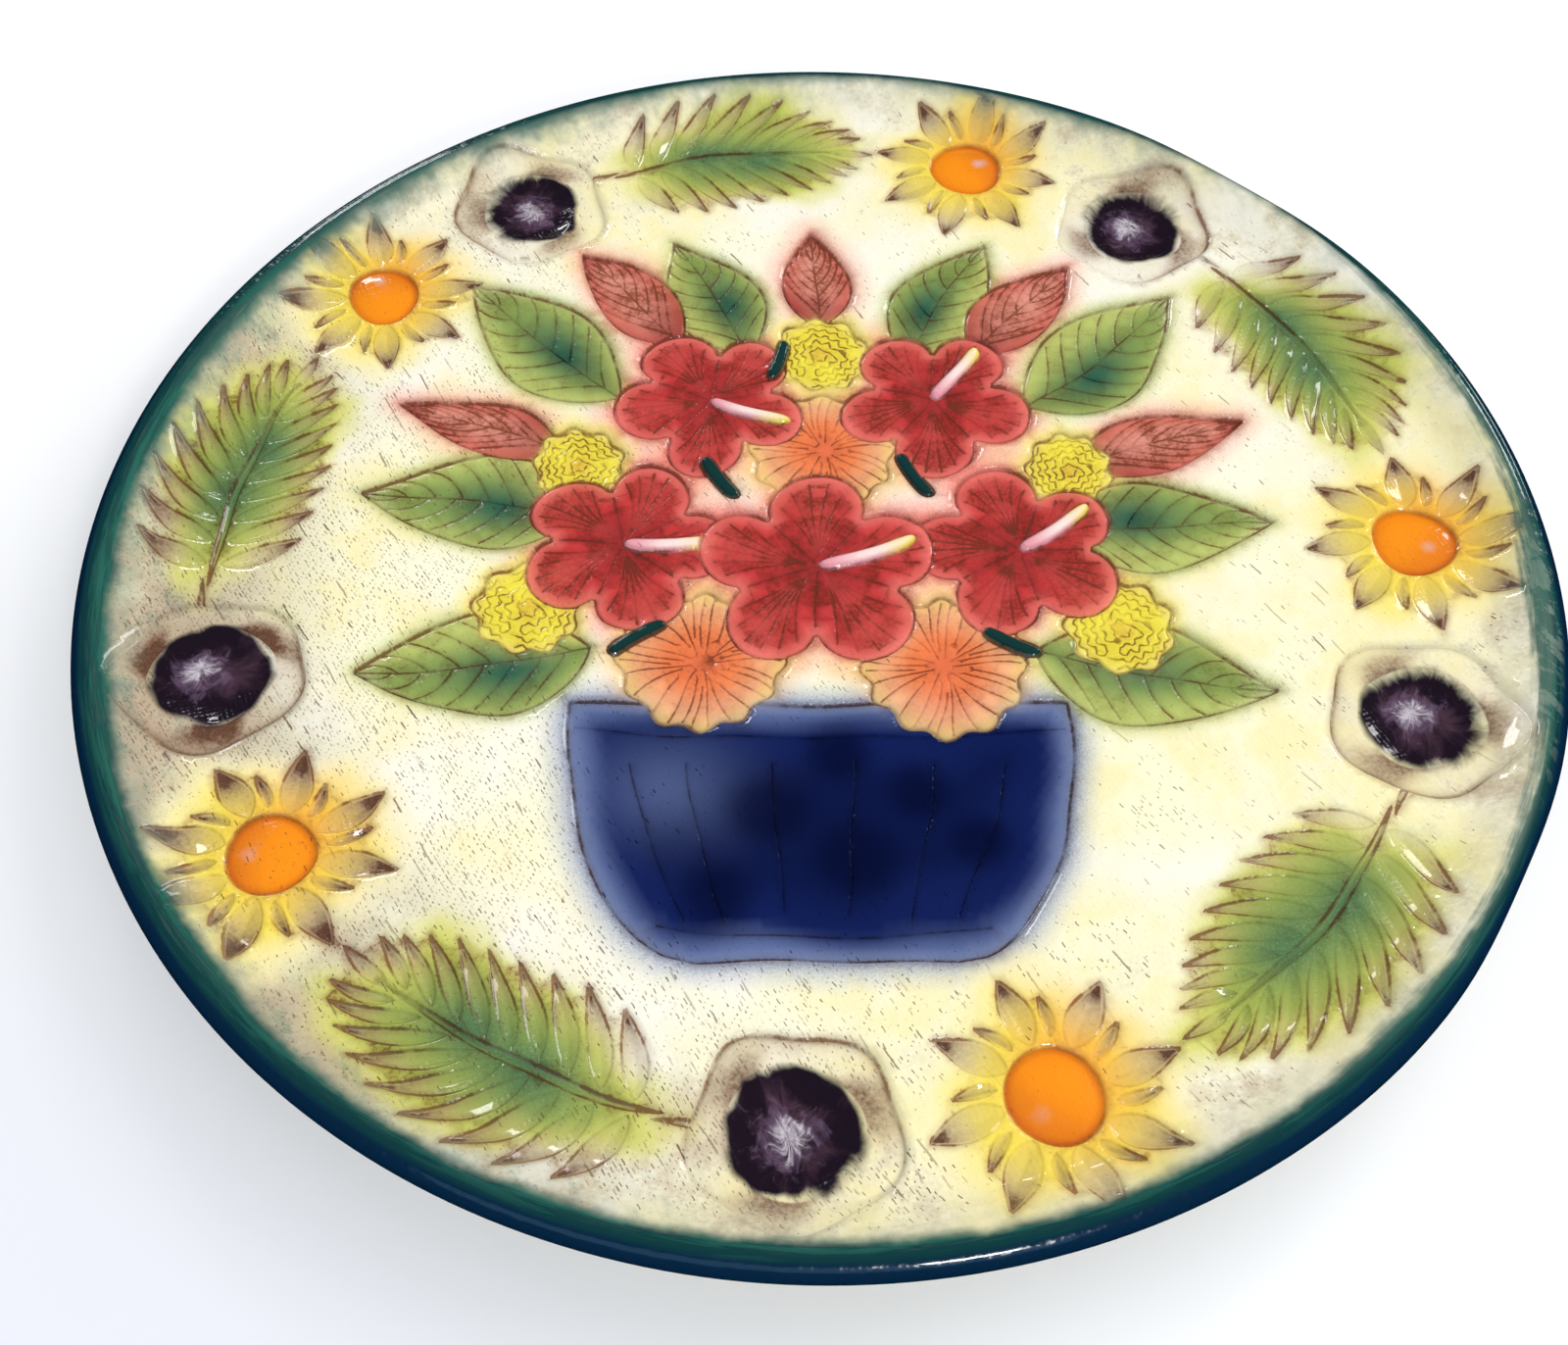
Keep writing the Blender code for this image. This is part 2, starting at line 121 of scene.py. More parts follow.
# A stem is x, y, bearing and length
STEMS = ((-31, 35, -62, 18), (24, 36, -68, 17), (-40, -22, 214, 17), (43, -24, -40, 17), (-13, 65, 64, 15))

# How deep the figures are pressed
LEAF_PRESS = 1.0
BUD_PRESS = 1.1
POMPON_PRESS = 1.4
FAN_PRESS = 1.5
BLOSSOM_PRESS = 1.8
BOWL_PRESS = 1.2
LEAFLET_PRESS = 1.0
PETAL_PRESS = 1.0
SEPAL_PRESS = 0.9
DARK_PRESS = 2.2
PISTIL_RISE = 1.5

# The sheet's fineness
SPACING = 1.15
FILL_SPACING = 2.7
SLOPE_SPACING = 2.0
LINE_SHOULDER = 0.4
MERGE = 0.02
SEGMENTS = 288

# A line ends where it runs deeper than this under a figure in front
HIDDEN = 0.35

# The fill's rows and its clearance from lines, as shares of its spacing
ROW_PITCH = 0.866
FILL_CLEARANCE = 0.62

# How far from a line its wash is worked out, in half widths of the line and in millimetres
CUT_LIMIT = 8.0
LINE_REACH = 2.5

# Colours as seen, from 0 to 255
CREAM = (252, 249, 218)
BUTTER = (251, 240, 186)
IVORY = (253, 247, 230)
TAN = (196, 170, 140)
SAGE = (168, 176, 146)
BROWN = (98, 64, 48)
MOSS = (142, 162, 84)
LIME = (192, 202, 112)
DEEP_LEAF = (34, 92, 76)
FERN = (172, 186, 82)
FERN_HEART = (58, 112, 80)
FERN_EDGE = (226, 222, 116)
SCARLET = (206, 60, 60)
CRIMSON = (158, 42, 46)
ROSE = (244, 122, 112)
BLUSH = (246, 168, 144)
SALMON = (222, 116, 98)
SHELL = (242, 160, 140)
ORANGE = (250, 128, 74)
APRICOT = (250, 178, 128)
LEMON = (252, 236, 74)
STRAW = (250, 232, 128)
GOLD = (236, 186, 70)
EYE_ORANGE = (254, 148, 18)
EYE_RED = (216, 108, 28)
SUNNY = (253, 164, 58)
PRIMROSE = (251, 230, 92)
COBALT = (14, 30, 86)
MIDNIGHT = (2, 8, 44)
CORNFLOWER = (96, 112, 158)
HAZE = (176, 186, 204)
PINK = (240, 160, 172)
PEARL_HIGHLIGHT = (252, 228, 220)
STEM_GREEN = (20, 58, 56)
PLUM = (30, 20, 32)
AUBERGINE = (74, 50, 64)
LILAC = (214, 206, 212)
MAUVE = (104, 82, 106)
TEAL = (44, 102, 88)
DEEP_TEAL = (14, 60, 62)
NAVY = (3, 36, 62)
SLATE = (128, 147, 132)
FAWN = (176, 144, 116)
BISQUE = (226, 208, 180)
THIN_WASH = (176, 142, 124)
# Painted shade that the floor turns to at the front left, and the floor's own colour
FLOOR_PAINTED_SHADE = (230, 230, 239)
FLOOR_FAR = (253, 253, 254)

# The cloth's threads, from one to the next
THREAD_PITCH = 1.3

# The room's light, and each lamp's name, place, aim, size, watts and colour, and whether the glaze shows it
WHITE = (1, 1, 1)
ROOM_COLOUR = (0.97, 0.98, 1.0, 1)
ROOM_LIGHT = 0.85
LAMPS = (
    ("window", (1.4, 0.8, 1.1), (0, 0, 0), (1.6, 1.6), 14.5, WHITE, False),
    ("bright pane", (1.0, 0.9, 0.62), (0, 0, 0), (0.22, 0.3), 1.2, WHITE, True),
    ("front lamp", (0.38, -1.2, 0.9), (0.03, -0.18, 0.02), (0.24, 0.16), 4.4, WHITE, True),
    ("dim wall", (-0.2, -1.6, 0.9), (0, 0, 0), (2.4, 0.8), 3.4, (0.3, 0.65, 1.0), True),
    ("far lamp", (-0.5, 1.1, 0.6), (-0.08, 0.15, 0), (0.2, 0.12), 0.7, WHITE, True),
)

# The photograph's view: width and focal length in pixels, place in metres from the rim's level, direction
PHOTO_WIDTH = 1600
FOCAL_LENGTH = 1642.07
SENSOR_WIDTH = 36
VIEWPOINT = (-0.0089, -0.2666, 0.3247)
VIEW_DIRECTION = (0, 0.5583, -0.8296)

# How a mesh attribute of each kind is filled
FILLED_BY = {"FLOAT": "value", "FLOAT_VECTOR": "vector", "FLOAT_COLOR": "color"}


def linear(colour):
    """A colour as seen, from 0 to 255, as the light values that shaders use."""
    seen = np.asarray(colour, float) / 255
    return np.where(seen <= 0.04045, seen / 12.92, ((seen + 0.055) / 1.055) ** 2.4)


def smooth_step(low, high, value):
    t = np.clip((value - low) / (high - low), 0, 1)
    return t * t * (3 - 2 * t)


def bell(value):
    """1 at zero, falling smoothly to nothing on both sides."""
    return np.exp(-(value ** 2))


def blend(first, second, share):
    """Colours between a first, as seen or worked out already, and a second as seen: one for each share."""
    share = np.atleast_1d(share)[:, None]
    start = linear(first) if isinstance(first, tuple) else first
    return start * (1 - share) + linear(second) * share


def face_height(radius):
    """The dish before any figure is pressed in."""
    bowl = PLATE_HEIGHT - DISH_DEPTH + (DISH_DEPTH - BORDER_DEPTH) * (radius / BORDER_EDGE) ** 2
    rise = smooth_step(BORDER_EDGE, CREST_RADIUS, radius)
    return bowl + (PLATE_HEIGHT - bowl) * rise


# Outlines and lines, each in its own frame


def polar(radius, bearing):
    return np.stack([radius * np.cos(bearing), radius * np.sin(bearing)], axis=-1)


def reach_of(points):
    return np.hypot(points[..., 0], points[..., 1])


def bearing_of(points):
    return np.arctan2(points[..., 1], points[..., 0])


def within(points, low, high, reach):
    """Which points lie in a box, or less than reach outside it."""
    return ((points > low - reach) & (points < high + reach)).all(axis=1)


def two_sided(length, share, half, bend):
    """An outline along +X from half its width at each share of its length; bend curves it sideways."""
    lower = np.stack([length * share, -half], axis=1)
    upper = np.stack([length * share, half], axis=1)[::-1]
    around = np.vstack([lower[:-1], upper[:-1]])
    around[:, 1] += bend * around[:, 0] ** 2 / length
    return around


def leaf(length, width, bend=0.0, steps=40):
    """A pointed oval from its stalk at the origin along +X."""
    share = np.linspace(0, 1, steps + 1)
    half = 0.5 * width * np.sin(math.pi * share ** 0.8)
    return two_sided(length, share, half, bend)


def bar(length, width, bend=0.0, steps=24):
    """A round-ended bar along +X."""
    share = 0.5 - 0.5 * np.cos(math.pi * np.arange(steps + 1) / steps)
    half = 0.5 * width * np.sqrt(np.clip(1 - np.abs(2 * share - 1) ** 7, 0, 1))
    return two_sided(length, share, half, bend)


def leaf_half_width(x, length, width):
    return 0.5 * width * np.sin(math.pi * np.clip(x / length, 0, 1) ** 0.8)


def leaf_rib(length, bend=0.0, first=0.0, last=0.97):
    x = np.linspace(first, last, 16) * length
    return np.stack([x, bend * x * x / length], axis=1)


def leaf_veins(length, width, bend, pairs, sweep=0.22):
    """Side veins that leave the rib in pairs and curve towards the tip."""
    veins = []
    for i in range(pairs):
        start = 0.1 + 0.72 * i / (pairs - 1)
        share = np.linspace(0, 1, 9)
        for side in (1, -1):
            x = length * (start + 0.015 * side + sweep * share ** 1.25 * (1 - 0.35 * start))
            y = side * 0.9 * leaf_half_width(x, length, width) * share + bend * x * x / length
            veins.append(np.stack([x, y], axis=1))
    return veins


def lobed(radius, lobes, depth, count=96):
    bearing = TURN * np.arange(count) / count
    return polar(radius * (1 + depth * np.cos(lobes * bearing)), bearing)


def petal_edge(radius, bearing, notch=0.42):
    return radius * (1 - notch + notch * np.abs(np.cos(2.5 * bearing)) ** 0.6)


def five_petals(radius, count=150):
    bearing = TURN * (np.arange(count) + 0.5) / count
    return polar(petal_edge(radius, bearing), bearing)


def petal_lines(radius):
    """The partings between petals, and curved lines that spread over each petal."""
    lines = []
    for petal in range(5):
        middle = TURN * petal / 5
        lines.append(polar(radius * np.linspace(0.06, 0.57, 10), middle + TURN / 10))
        for spread in (-0.8, -0.48, -0.16, 0.16, 0.48, 0.8):
            share = np.linspace(0.14 + 0.1 * abs(spread), 0.93 - 0.12 * abs(spread), 12)
            bearing = middle + spread * 0.56 * share ** 0.6
            lines.append(polar(petal_edge(radius, bearing) * share, bearing))
    return lines


def bowl_side(half_lip, half_foot, height, steps=30):
    """A round bowl seen from the side, its lip on y = 0 and its foot below."""
    drop = np.linspace(0, 1, steps + 1) ** 0.7
    reach = half_foot + (half_lip - half_foot) * np.sqrt(1 - drop ** 2.2)
    right = np.stack([reach, -height * drop], axis=1)
    return np.vstack([right, right[::-1] * (-1, 1)])[::-1]


def resampled(points, spacing, closed):
    """Evenly spaced points along a line or a loop."""
    if closed:
        points = np.vstack([points, points[:1]])
    along = np.concatenate([[0], np.cumsum(reach_of(np.diff(points, axis=0)))])
    count = max(3 if closed else 1, int(round(along[-1] / spacing)))
    at = np.linspace(0, along[-1], count + 1)
    even = np.stack([np.interp(at, along, points[:, k]) for k in (0, 1)], axis=1)
    return even[:-1] if closed else even


def sideways(points, distance, closed):
    """A line or loop moved to its left, which is inwards on a counterclockwise loop."""
    if closed:
        along = np.roll(points, -1, axis=0) - np.roll(points, 1, axis=0)
    else:
        along = np.gradient(points, axis=0)
    along /= np.maximum(reach_of(along), 1e-9)[:, None]
    return points + distance * np.stack([-along[:, 1], along[:, 0]], axis=1)


def in_batches(points, pieces):
    """Slices of the points small enough to weigh each of them against every piece at once."""
    size = max(1, 150000 // max(pieces, 1))
    return [slice(first, first + size) for first in range(0, len(points), size)]


def line_distance(points, line, closed=False):
    """The distance from each point to a line or loop."""
    start = line if closed else line[:-1]
    along = (np.roll(line, -1, axis=0) if closed else line[1:]) - start
    squared = np.maximum(along[:, 0] ** 2 + along[:, 1] ** 2, 1e-12)
    nearest = np.empty(len(points))
    for batch in in_batches(points, len(start)):
        gap_x = points[batch, 0, None] - start[:, 0]
        gap_y = points[batch, 1, None] - start[:, 1]
        share = np.clip((gap_x * along[:, 0] + gap_y * along[:, 1]) / squared, 0, 1)
        away = (gap_x - share * along[:, 0]) ** 2 + (gap_y - share * along[:, 1]) ** 2
        nearest[batch] = np.sqrt(away.min(axis=1))
    return nearest


def inner_distance(points, outline):
    """The distance from each point to the outline, negative outside it."""
    end = np.roll(outline, -1, axis=0)
    rise = end[:, 1] - outline[:, 1]
    slope = (end[:, 0] - outline[:, 0]) / np.where(rise == 0, 1, rise)
    inside = np.empty(len(points), bool)
    for batch in in_batches(points, len(outline)):
        y = points[batch, 1, None]
        crosses = (outline[:, 1] > y) != (end[:, 1] > y)
        before = points[batch, 0, None] < outline[:, 0] + slope * (y - outline[:, 1])
        inside[batch] = (crosses & before).sum(axis=1) % 2 == 1
    return np.where(inside, 1, -1) * line_distance(points, outline, closed=True)


# Where a figure lies


class Spot:
    """A figure's own frame, laid on the face at a point and turned."""

    def __init__(self, x, y, bearing=0.0):
        self.centre = np.array([x, y], float)
        c, s = math.cos(bearing), math.sin(bearing)
        self.turn = np.array([[c, s], [-s, c]])

    def out(self, points):
        return points @ self.turn + self.centre

    def into(self, points):
        return (points - self.centre) @ self.turn.T


def on_ring(bearing):
    return Spot(*polar(BORDER_RADIUS, bearing), bearing)


class Strip:
    """The border's own strip, along it and out across it, bent round the ring at a bearing."""

    def __init__(self, bearing):
        self.bearing = bearing

    def out(self, points):
        return polar(BORDER_RADIUS + points[:, 1], self.bearing - points[:, 0] / BORDER_RADIUS)

    def into(self, points):
        turned = bearing_of(points) - self.bearing
        turned = (turned + math.pi) % TURN - math.pi
        return np.stack([-turned * BORDER_RADIUS, reach_of(points) - BORDER_RADIUS], axis=1)


# The figures


class Figure:
    """A pressed figure. Its kinds say how deep it is, how it is painted and where wash stains it."""

    # How deep it is, the share of that all over, the share added along its edge, and over what width
    depth, flat, added, width_added = 1.0, 0.5, 0.5, 1.0
    # How much of the depth at its edge the clay just outside is drawn in
    drawn_in = 1.0
    # The sheet's lanes beside its outline, inwards
    offsets = (-0.5, 0.0, 0.5, 1.1)
    outline_half = 0.42
    line_half = 0.34
    outline_strength = 1.0
    line_strength = 0.75
    spray_reach = 13
    groove = 0.3
    groove_half = 0.5

    def __init__(self, spot, outline, lines=()):
        self.spot = spot
        laid = spot.out(outline)
        following = np.roll(laid, -1, axis=0)
        area = np.sum(laid[:, 0] * following[:, 1] - following[:, 0] * laid[:, 1])
        self.outline = resampled(laid if area > 0 else laid[::-1], SPACING, closed=True)
        self.lines = [spot.out(line) for line in lines]
        self.low, self.high = self.outline.min(axis=0), self.outline.max(axis=0)

    def near(self, points, reach):
        return np.nonzero(within(points, self.low, self.high, reach))[0]

    def meets(self, other):
        """Whether the boxes round two figures come within a millimetre of each other."""
        return (other.low < self.high + 1).all() and (other.high > self.low - 1).all()

    def press(self, inner, own):
        return self.depth * (self.flat + self.added * np.exp(-inner / self.width_added))

    def lip(self, outer):
        """How deep the clay just outside the outline is drawn in."""
        return self.drawn_in * self.press(np.zeros(1), np.zeros((1, 2)))[0] * bell(outer / 0.42)

    def paint(self, inner, own):
        return []

    def fade(self, own):
        """How much of the wash its outline keeps."""
        return np.ones(len(own))

    def stain(self, inner, own):
        return np.zeros(len(inner))


class Leaf(Figure):
    depth, flat, added, width_added = LEAF_PRESS, 0.5, 0.8, 0.9
    outline_strength = 0.65
    line_strength = 0.6
    sweep = 0.22

    def __init__(self, row):
        x, y, degrees, self.length, self.width, self.bend = row
        lines = leaf_veins(self.length, self.width, self.bend, VEIN_PAIRS, self.sweep)
        lines.insert(0, leaf_rib(self.length, self.bend))
        outline = leaf(self.length, self.width, self.bend)
        super().__init__(Spot(x, y, math.radians(degrees)), outline, lines)
        # From -1 to 1 and different for each leaf, with no order to it: which of its sides is darker
        self.lean = math.sin(degrees)

    def across(self, own):
        middle = own[:, 1] - self.bend * own[:, 0] ** 2 / self.length
        half = np.maximum(leaf_half_width(own[:, 0], self.length, self.width), 1.0)
        return middle / half

    def paint(self, inner, own):
        across, share = self.across(own), own[:, 0] / self.length
        body = blend(MOSS, LIME, smooth_step(0.3, 1.1, np.abs(across - 0.25 * self.lean)))
        heart = ((share - 0.38) / 0.24) ** 2 + ((across - 0.2 * self.lean) / 0.5) ** 2
        body = blend(body, DEEP_LEAF, 0.95 * np.exp(-heart))
        return [(body, smooth_step(-5.5, 2.5, inner) * (0.97 - 0.25 * smooth_step(0.75, 1.0, share)))]


class Bud(Leaf):
    depth, flat, added, width_added = BUD_PRESS, 0.45, 0.9, 1.1
    outline_strength = 0.75
    line_half = 0.42
    line_strength = 0.85
    groove, groove_half = 0.45, 0.7
    sweep = 0.4

    def paint(self, inner, own):
        across, share = self.across(own), own[:, 0] / self.length
        body = blend(SHELL, SALMON, smooth_step(0.1, 1.0, np.abs(across)))
        body = blend(body, CRIMSON, 0.8 * smooth_step(0.5, 0.02, share + 0.12 * self.lean * across))
        body = blend(body, SCARLET, 0.7 * smooth_step(0.75, 1.0, share))
        mist = blend(BLUSH, ROSE, 0.4)
        return [(mist, 0.5 * smooth_step(-9, 1, inner)), (body, 0.96 * smooth_step(-1.6, 1.2, inner))]


class Blossom(Figure):
    depth, flat, added, width_added = BLOSSOM_PRESS, 0.5, 0.5, 1.2
    outline_strength = 0.7
    line_half = 0.45
    line_strength = 0.72
    groove, groove_half = 0.5, 0.8

    def __init__(self, row):
        x, y, self.radius, degrees = row
        spot = Spot(x, y, math.radians(degrees))
        super().__init__(spot, five_petals(self.radius), petal_lines(self.radius))

    def paint(self, inner, own):
        reach = reach_of(own) / self.radius
        bearing = bearing_of(own)
        swell = np.abs(np.cos(2.5 * bearing))
        dark = 0.6 * smooth_step(0.5, 0.0, reach) + 0.4 * smooth_step(0.55, 0.0, swell)
        pale = 0.75 * smooth_step(5.5, 0.5, inner) + 0.25 * smooth_step(0.7, 1, swell) * reach
        body = blend(blend(SCARLET, CRIMSON, dark), ROSE, pale)
        mist = blend(BLUSH, ROSE, 0.55)
        return [(mist, 0.55 * smooth_step(-11, 0, inner)), (body, 0.98 * smooth_step(-2.2, 1.5, inner))]


class Pistil(Figure):
    drawn_in = 0.0
    offsets = (-0.4, 0.0, 0.5, 1.0, 1.5)
    outline_half = 0.3
    outline_strength = 0.8

    def __init__(self, row):
        x, y, radius, degrees = row
        self.length = 0.88 * radius
        super().__init__(Spot(x, y, math.radians(degrees - 76)), bar(self.length, 4.6, 0.12))

    def press(self, inner, own):
        return BLOSSOM_PRESS * 0.5 + 0.3 - (PISTIL_RISE + 0.3) * np.sqrt(np.clip(inner / 2.2, 0, 1))

    def paint(self, inner, own):
        share = own[:, 0] / self.length
        # Pink at its foot and lemon at its tip are its colours; paler down its raised middle is a painted
        # highlight
        body = blend(PINK, PEARL_HIGHLIGHT, smooth_step(0.05, 0.5, share) * smooth_step(0.3, 1.4, inner))
        body = blend(body, LEMON, 0.85 * smooth_step(0.5, 0.95, share) * smooth_step(2.4, 0.6, inner))
        return [(body, 0.98 * smooth_step(-0.4, 0.3, inner))]


class Fan(Figure):
    depth, flat, added, width_added = FAN_PRESS, 0.55, 0.45, 0.9
    outline_strength = 0.55
    line_half = 0.32
    line_strength = 0.62

    def __init__(self, row):
        x, y, self.radius = row
        lines = []
        for rib in range(27):
            share = np.linspace(0.14 + 0.13 * (rib % 3), 0.97, 9)
            lines.append(polar(self.radius * share, TURN * rib / 27 + 0.1 * np.sin(3 * share + rib)))
        super().__init__(Spot(x, y), lobed(self.radius, 12, 0.05), lines)

    def press(self, inner, own):
        cup = 0.35 * FAN_PRESS * bell(reach_of(own) / self.radius / 0.22)
        return super().press(inner, own) + cup

    def paint(self, inner, own):
        reach = reach_of(own) / self.radius
        body = blend(ORANGE, APRICOT, smooth_step(0.35, 0.85, reach))
        body = blend(body, STRAW, 0.6 * smooth_step(0.75, 1.05, reach))
        body = blend(body, SCARLET, 0.4 * smooth_step(0.4, 0.0, reach))
        mist = blend(APRICOT, STRAW, 0.4)
        return [(mist, 0.6 * smooth_step(-8, 0, inner)), (body, 0.92 * smooth_step(-2.5, 2.5, inner))]


class Pompon(Figure):
    depth, flat, added, width_added = POMPON_PRESS, 0.6, 0.4, 0.8
    outline_strength = 0.6
    line_half = 0.3
    line_strength = 0.62
    # Each ring of frills: its share of the radius, its lobes and how deep they are
    ruffles = ((0.88, 21, 0.05), (0.72, 17, 0.08), (0.55, 13, 0.11), (0.37, 9, 0.15), (0.18, 5, 0.2))

    def __init__(self, row):
        x, y, self.radius = row
        loops = []
        for share, lobes, depth in self.ruffles:
            loop = lobed(share * self.radius, lobes, depth, 120)
            loop *= 1 + 0.05 * np.sin(3 * np.arange(120) / 19 + x)[:, None]
            for part in range(3):
                loops.append(loop[40 * part:40 * part + 34])
        super().__init__(Spot(x, y, 0.3), lobed(self.radius, 9, 0.07), loops)

    def press(self, inner, own):
        ruffle = 0.2 * np.cos(TURN * reach_of(own) / self.radius / 0.18)
        return super().press(inner, own) + ruffle * smooth_step(0, 1, inner)

    def paint(self, inner, own):
        reach = reach_of(own) / self.radius
        body = blend(LEMON, GOLD, 0.7 * smooth_step(0.35, 0.0, reach))
        body = blend(body, STRAW, smooth_step(0.7, 1.15, reach))
        return [(body, 0.97 * smooth_step(-6, 1.5, inner))]


class Bowl(Figure):
    depth, flat, added, width_added = BOWL_PRESS, 0.75, 0.25, 1.2
    outline_half = 0.4
    outline_strength = 0.7
    line_half = 0.28
    line_strength = 0.5
    groove, groove_half = 0.25, 0.6
    # Its darker patches: where on it, and how large
    blots = ((-12, -30, 10), (4, -14, 8), (24, -24, 8), (38, -40, 7), (8, -44, 11), (-24, -54, 9))

    def __init__(self, row):
        x, y, half_lip, half_foot, height = row
        share = np.linspace(-0.97, 0.97, 30)
        lip = np.stack([half_lip * share, height * (0.04 * share ** 2 - 0.14)], axis=1)
        foot = np.stack([1.34 * half_foot * share, height * (-0.92 + 0.05 * share ** 2)], axis=1)
        lines = [lip, foot]
        drop = np.linspace(0.24, 0.84, 16)
        for at in (-0.72, -0.5, -0.18, 0.12, 0.44, 0.7):
            lines.append(np.stack([half_lip * at * (1.08 - 0.5 * drop ** 2), -height * drop], axis=1))
        super().__init__(Spot(x, y), bowl_side(half_lip, half_foot, height), lines)

    def press(self, inner, own):
        belly = 0.6 * smooth_step(2, 26, inner)
        return super().press(inner, own) - belly

    def paint(self, inner, own):
        uneven = 2.5 * np.sin(own[:, 0] / 7 + 1) + 2 * np.sin(own[:, 1] / 5.3 + own[:, 0] / 11)
        body = blend(CORNFLOWER, COBALT, smooth_step(0, 9, inner + 0.4 * uneven))
        body = blend(body, MIDNIGHT, 0.55 * smooth_step(8, 26, inner + uneven))
        pale = np.exp(-(((own[:, 0] + 38) / 17) ** 2) - ((own[:, 1] + 24) / 14) ** 2)
        body = blend(body, CORNFLOWER, 0.55 * pale)
        for u, v, radius in self.blots:
            reach = np.hypot(own[:, 0] - u, own[:, 1] - v) / radius
            body = blend(body, MIDNIGHT, 0.75 * np.exp(-reach ** 4))
        mist = blend(HAZE, CORNFLOWER, 0.3)
        return [(mist, 0.75 * smooth_step(-9, 0.5, inner)), (body, smooth_step(-3.5, 3.5, inner))]


class Stem(Figure):
    offsets = (-0.5, 0.0, 0.6, 1.3)
    outline_half = 0.3

    def __init__(self, row):
        x, y, degrees, length = row
        super().__init__(Spot(x, y, math.radians(degrees)), bar(length, 4.4, 0.1))

    def press(self, inner, own):
        return 0.7 - 1.5 * np.sqrt(np.clip(inner / 2.1, 0, 1))

    def lip(self, outer):
        return 0.7 * bell(outer / 0.42)

    def paint(self, inner, own):
        return [(linear(STEM_GREEN), smooth_step(-0.5, 0.3, inner))]


class Gouge(Figure):
    """A leaflet or petal pressed as a trough. The wash gathers at its tip and along its edges there."""

    offsets = (-0.42, 0.0, 0.7)
    outline_half = 0.36
    line_strength = 0.0
    spray_reach = 3

    def __init__(self, spot, outline, spine, tip, depth, half_width, stained=1.0):
        super().__init__(spot, outline, [spine])
        self.tip, self.depth, self.half_width, self.stained = np.array(tip), depth, half_width, stained
        self.length = reach_of(spine[-1] - spine[0]) * 1.3

    def press(self, inner, own):
        share = np.clip(inner / self.half_width, 0, 1)
        return self.depth * (0.35 + 0.65 * (1 - (1 - share) ** 2))

    def lip(self, outer):
        return 0.35 * self.depth * bell(outer / 0.35) - 0.1 * bell((outer + 0.7) / 0.6)

    def fade(self, own):
        away = reach_of(own - self.tip)
        return 0.2 + 0.8 * self.stained * smooth_step(0.9 * self.length, 0.3 * self.length, away)

    def stain(self, inner, own):
        away = reach_of(own - self.tip)
        blob = bell(away / (0.9 + 0.75 * self.half_width))
        wash = 0.62 * bell(away / (6 + 2 * self.half_width))
        return self.stained * (blob + wash) * smooth_step(-0.1, 0.6, inner)


class Sepals(Figure):
    """The shallow print round a dark heart: crisp on one side, with smoky petals on the others."""

    depth, flat, added, width_added = SEPAL_PRESS, 0.75, 0.45, 1.5

    def __init__(self, bearing):
        self.phase = 9.1 * bearing
        super().__init__(on_ring(bearing), lobed(SEPAL_RADIUS, 5, 0.05))

    def lip(self, outer):
        return 0.7 * SEPAL_PRESS * bell(outer / 0.3) - 0.25 * bell((outer + 0.9) / 0.7)

    def crisp(self, own):
        bearing = bearing_of(own)
        return smooth_step(-0.35, 0.6, np.sin(bearing + self.phase))

    def fade(self, own):
        return 0.12 + 0.6 * self.crisp(own)

    def stain(self, inner, own):
        bearing = bearing_of(own)
        reach = reach_of(own)
        petals = smooth_step(-0.3, 0.9, np.cos(3 * bearing + self.phase + 0.12 * reach))
        smoke = (0.12 + 0.62 * petals) * smooth_step(SEPAL_RADIUS + 1.5, SEPAL_RADIUS - 6, reach)
        return smoke + 0.5 * np.exp(-inner / 1.6) * self.crisp(own) * smooth_step(-0.1, 0.4, inner)


class DarkHeart(Figure):
    drawn_in = 0.0
    outline_strength = 0.2
    offsets = (-1.2, -0.5, 0.0, 0.5, 1.1)

    def __init__(self, bearing):
        super().__init__(on_ring(bearing), lobed(DARK_RADIUS, 4, 0.03))

    def press(self, inner, own):
        reach = reach_of(own)
        bearing = bearing_of(own)
        knob = 0.7 * bell(reach / 4.5)
        folds = 0.16 * np.sin(7 * bearing + 0.2 * reach) + 0.1 * np.sin(12 * bearing - 0.35 * reach)
        folds *= smooth_step(1.5, 5, reach) * smooth_step(0, 3, inner)
        return SEPAL_PRESS * 0.8 + (DARK_PRESS - SEPAL_PRESS) * smooth_step(0, 4.5, inner) - knob + folds


class DaisyEye(Figure):
    offsets = (-0.5, 0.0, 0.5, 1.1, 2.2)
    outline_strength = 0.35

    def __init__(self, bearing):
        super().__init__(on_ring(bearing), lobed(DAISY_EYE, 3, 0.03))

    def press(self, inner, own):
        return 1.4 - 1.1 * smooth_step(0.2, 5.5, inner)

    def paint(self, inner, own):
        shade = 0.45 * smooth_step(3.2, 0, inner) + 0.5 * smooth_step(-4, 9, own[:, 0] - own[:, 1])
        body = blend(EYE_ORANGE, EYE_RED, shade)
        chip = 0.55 * smooth_step(2.2, 0.8, np.hypot(own[:, 0] - 3.5, 1.6 * (own[:, 1] + 3)))
        return [(blend(body, LILAC, chip), smooth_step(-0.8, 0.5, inner))]


